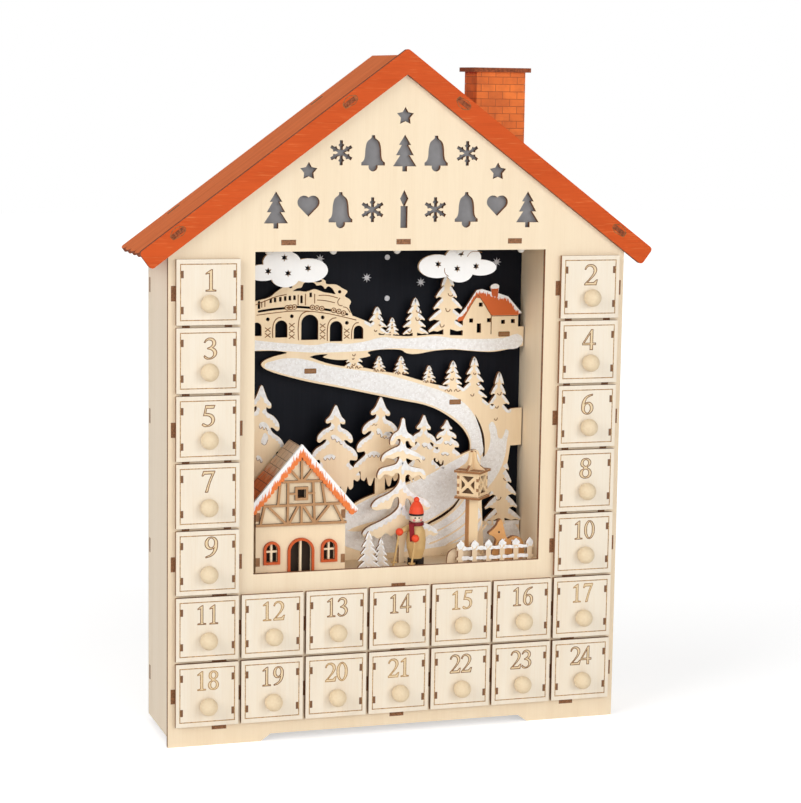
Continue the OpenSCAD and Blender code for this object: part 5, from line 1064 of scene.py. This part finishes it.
is_knob = math_node(tree, "LESS_THAN", parts[1], drawer_face - 0.05 * MM)
fibres = noise(tree, object_place(tree, (700, 60, 700)), detail=3)
beech = mix_colors(tree, fibres, (0.83, 0.70, 0.49, 1), (0.74, 0.57, 0.37, 1))
color = mix_colors(tree, is_knob, mix_colors(tree, is_box, color, box_color), beech)
finish_surface(tree, shader, color, wood["Height"], roughness=wood["Roughness"])
for n in range(1, 25):
    dress("drawer_%02d" % n, material)

# Numerals. Serif figures scorched above each knob, drawn as outlines in hundredths of their
# height; a point with a third value is a corner.
NINE_TURN = (62, 100)


def oval(x, y, half_w, half_h, points=8):
    angles = [2 * math.pi * i / points for i in range(points)]
    return [(x + half_w * math.cos(angle), y + half_h * math.sin(angle)) for angle in angles]


SIX = [
    [(52, 100, 1), (30, 92), (12, 70), (6, 40), (10, 13), (30, 0), (49, 10), (56, 32), (49, 53), (34, 60),
    (19, 53, 1), (28, 80), (53, 96, 1)], oval(31, 29, 13, 24)]
FIGURES = {
    "0": [oval(31, 50, 27, 50), oval(31, 50, 15.5, 44.5)],
    "1": [[(12, 0, 1), (12, 4, 1), (24, 6, 1), (26, 10, 1), (26, 84, 1), (12, 80, 1), (12, 84, 1),
        (33, 100, 1), (37, 100, 1), (37, 10, 1), (39, 6, 1), (51, 4, 1), (51, 0, 1)]],
    "2": [[(5, 0, 1), (5, 5, 1), (28, 33), (41, 55), (44, 72), (38, 87), (26, 93), (14, 87), (9, 76, 1),
        (5, 78, 1), (11, 92), (28, 100), (48, 93), (56, 74), (50, 54), (32, 30), (16, 11, 1), (44, 11, 1),
        (56, 24, 1), (60, 24, 1), (55, 0, 1)]],
    "3": [[(5, 12, 1), (12, 3), (23, 0), (43, 7), (55, 27), (50, 45), (38, 54, 1), (48, 64), (51, 79),
        (44, 94), (28, 100), (13, 93), (6, 80, 1), (9, 79, 1), (16, 88), (26, 91), (37, 85), (39, 74),
        (33, 60), (19, 52, 1), (19, 49, 1), (35, 43), (43, 27), (38, 11), (25, 5), (15, 10), (8, 17, 1)]],
    "4": [[(36, 0, 1), (36, 25, 1), (3, 25, 1), (3, 32, 1), (40, 100, 1), (47, 100, 1), (47, 33, 1),
        (59, 33, 1), (59, 25, 1), (47, 25, 1), (47, 0, 1)],
        [(36, 33, 1), (36, 82, 1), (9, 33, 1)]],
    "5": [[(6, 8, 1), (14, 1), (24, 0), (45, 8), (55, 31), (48, 53), (30, 62), (20, 63, 1), (24, 87, 1),
        (52, 87, 1), (56, 100, 1), (20, 100, 1), (12, 52, 1), (28, 51), (40, 43), (44, 28), (38, 12), (27, 6),
        (16, 12), (9, 14, 1)]],
    "6": SIX,
    "7": [[(6, 79, 1), (12, 100, 1), (57, 100, 1), (57, 96, 1), (40, 48), (29, 0, 1), (20, 0, 1), (32, 46),
        (46, 87, 1), (17, 87, 1), (10, 78, 1)]],
    "8": [[(31, 0), (12, 7), (5, 24), (11, 41), (23, 51), (11, 63), (9, 79), (16, 94), (32, 100), (47, 93),
        (53, 79), (48, 64), (38, 55), (50, 43), (56, 25), (49, 7)], oval(31, 77, 12, 17),
        oval(31, 26, 14, 20)],
    "9": [[(NINE_TURN[0] - p[0], NINE_TURN[1] - p[1], *p[2:]) for p in loop] for loop in SIX],
}
FIGURE_STEP = 0.6
# Height of the figures, their foot above the middle of the drawer and their width against
# their height, for one and for two figures
FIGURE_SIZES = {1: (14.0, 1.4, 1.22), 2: (12.9, 3.3, 1.06)}
FAINT = (12, 15, 17, 18, 20, 21)
SHIFTS = {1: (1.3, -0.7), 3: (1.3, -0.4), 7: (0.0, 1.2), 9: (2.2, 2.0)}
LINE_X, LINE_Z = 18.75, 18.45
EDGE_RADIUS = 0.33
figure_brown = mottled("scorched figure", 1.0, (0.72, 0.53, 0.30, 1), (0.84, 0.70, 0.48, 1),
                       stretch=(300, 300, 2600))
BURNS = [("scorched edge of a figure", (0.15, 0.06, 0.02, 1), (0.34, 0.155, 0.05, 1)),
         ("faint edge of a figure", (0.36, 0.19, 0.07, 1), (0.58, 0.36, 0.15, 1)),
         ("scorched inset line", (0.34, 0.17, 0.06, 1), (0.66, 0.42, 0.2, 1))]
dark_edge, faint_edge, inset_line = (mottled(name, 900, dark, pale, low=0.35, high=0.7)
                                     for name, dark, pale in BURNS)


def rectangle(x, z, half_w, half_h):
    corners = ((-1, -1), (1, -1), (1, 1), (-1, 1))
    return [(x + side * half_w, z + level * half_h, 1) for side, level in corners]


for n in range(1, 25):
    column = (n - 11) % 7 if n > 10 else 6 * ((n + 1) % 2)
    row = 0 if n > 17 else 1 if n > 10 else 6 - (n - 1) // 2
    middle_x, middle_z = (column - 3) * CELL_W, FRONT_Z + CELL_H * row
    digits = str(n)
    high, foot, wide = FIGURE_SIZES[len(digits)]
    aside, raised = SHIFTS.get(n, (0, 0))
    figures = []
    for i, digit in enumerate(digits):
        start = middle_x + aside + (i - len(digits) / 2) * FIGURE_STEP * high * wide
        low = middle_z + foot + raised
        figures += [[(start + across / 100 * high * wide, low + up / 100 * high, *corner)
                     for across, up, *corner in loop] for loop in FIGURES[digit]]
    body = "drawer_%02d_body" % n
    painted_patch("drawer_%02d_figures" % n, figures, -DRAWER_OUT, figure_brown, body,
                  lift=0.03)
    inset = rectangle(middle_x, middle_z, LINE_X, LINE_Z)
    edge = faint_edge if n in FAINT else dark_edge
    for name, loops, burn in (("edges", figures, edge), ("inset_line", [inset], inset_line)):
        edges = closed_curve("edges", loops, fill_mode="NONE", bevel_depth=EDGE_RADIUS, bevel_resolution=0)
        place = on_board(-DRAWER_OUT, through=1 / 3)
        place_curve(edges, "drawer_%02d_%s" % (n, name), place, body, burn)

# Floor, lamps and camera. A plain white table under soft studio light, seen from the left
# and a little above.
floor_shape = bmesh.new()
bmesh.ops.create_grid(floor_shape, x_segments=1, y_segments=1, size=6)
table = mottled("white table", 0.5, (0.93, 0.93, 0.93, 1), (0.95, 0.95, 0.95, 1), roughness=0.9)
tree, shader = table.node_tree, table.node_tree.nodes["Principled BSDF"].inputs
shader["Emission Color"].default_value = (1, 1, 1, 1)
seen = add_node(tree, "ShaderNodeLightPath").outputs["Is Camera Ray"]
away = vector_node(tree, "LENGTH", object_place(tree))
glow = math_node(tree, "MULTIPLY_ADD", ramp(tree, away, 0.3, 1.6), 0.32, 0.5)
tree.links.new(times(tree, seen, glow), shader["Emission Strength"])
floor = bpy.data.objects.new("floor", mesh_of("floor", floor_shape))
floor.data.materials.append(table)
bpy.context.scene.collection.objects.link(floor)

world = bpy.data.worlds.new("studio")
bpy.context.scene.world = world
world.use_nodes = True
sky_tree = world.node_tree
ambient = sky_tree.nodes["Background"]
ambient.inputs["Color"].default_value = (1, 1, 1, 1)
seen = add_node(sky_tree, "ShaderNodeLightPath").outputs["Is Camera Ray"]
strength = add_node(sky_tree, "ShaderNodeMapRange", {"Value": seen, "To Min": 0.32, "To Max": 1.0})
sky_tree.links.new(strength.outputs[0], ambient.inputs["Strength"])


def soft_lamp(name, place, aim, size, power):
    lamp = bpy.data.lights.new(name, "AREA")
    lamp.size = size
    lamp.energy = power
    holder = bpy.data.objects.new(name, lamp)
    holder.location = place
    holder.rotation_euler = (Vector(aim) - Vector(place)).to_track_quat("-Z", "Y").to_euler()
    bpy.context.scene.collection.objects.link(holder)


soft_lamp("key", (0.9, -2.0, 0.9), (0, 0, 0.22), 1.0, 15)
soft_lamp("front", (-0.3, -2.3, 0.5), (0, 0, 0.23), 1.2, 13.5)
soft_lamp("side", (-2.0, -0.9, 1.3), (0, 0, 0.22), 1.6, 27)

CAMERA_PLACE = (-0.4729, front_face - 1.4555, 0.4451)
YAW, TILT, ROLL = (math.radians(angle) for angle in (17.982, 7.979, 0.868))
FOCAL_PIXELS, PHOTO_W, SENSOR = 2274.2, 801, 36
ahead = Vector((math.sin(YAW) * math.cos(TILT), math.cos(YAW) * math.cos(TILT), -math.sin(TILT)))
right = Vector((math.cos(YAW), -math.sin(YAW), 0))
above = right.cross(ahead)
right, above = (right * math.cos(ROLL) + above * math.sin(ROLL),
                above * math.cos(ROLL) - right * math.sin(ROLL))
lens = bpy.data.cameras.new("camera")
lens.sensor_fit = "HORIZONTAL"
lens.sensor_width = SENSOR
lens.lens = FOCAL_PIXELS * SENSOR / PHOTO_W
lens.clip_end = 50
camera = bpy.data.objects.new("camera", lens)
turn = Matrix((right, above, -ahead)).transposed().to_4x4()
camera.matrix_world = Matrix.Translation(CAMERA_PLACE) @ turn
bpy.context.scene.collection.objects.link(camera)
bpy.context.scene.camera = camera
bpy.context.scene.view_settings.view_transform = "Standard"
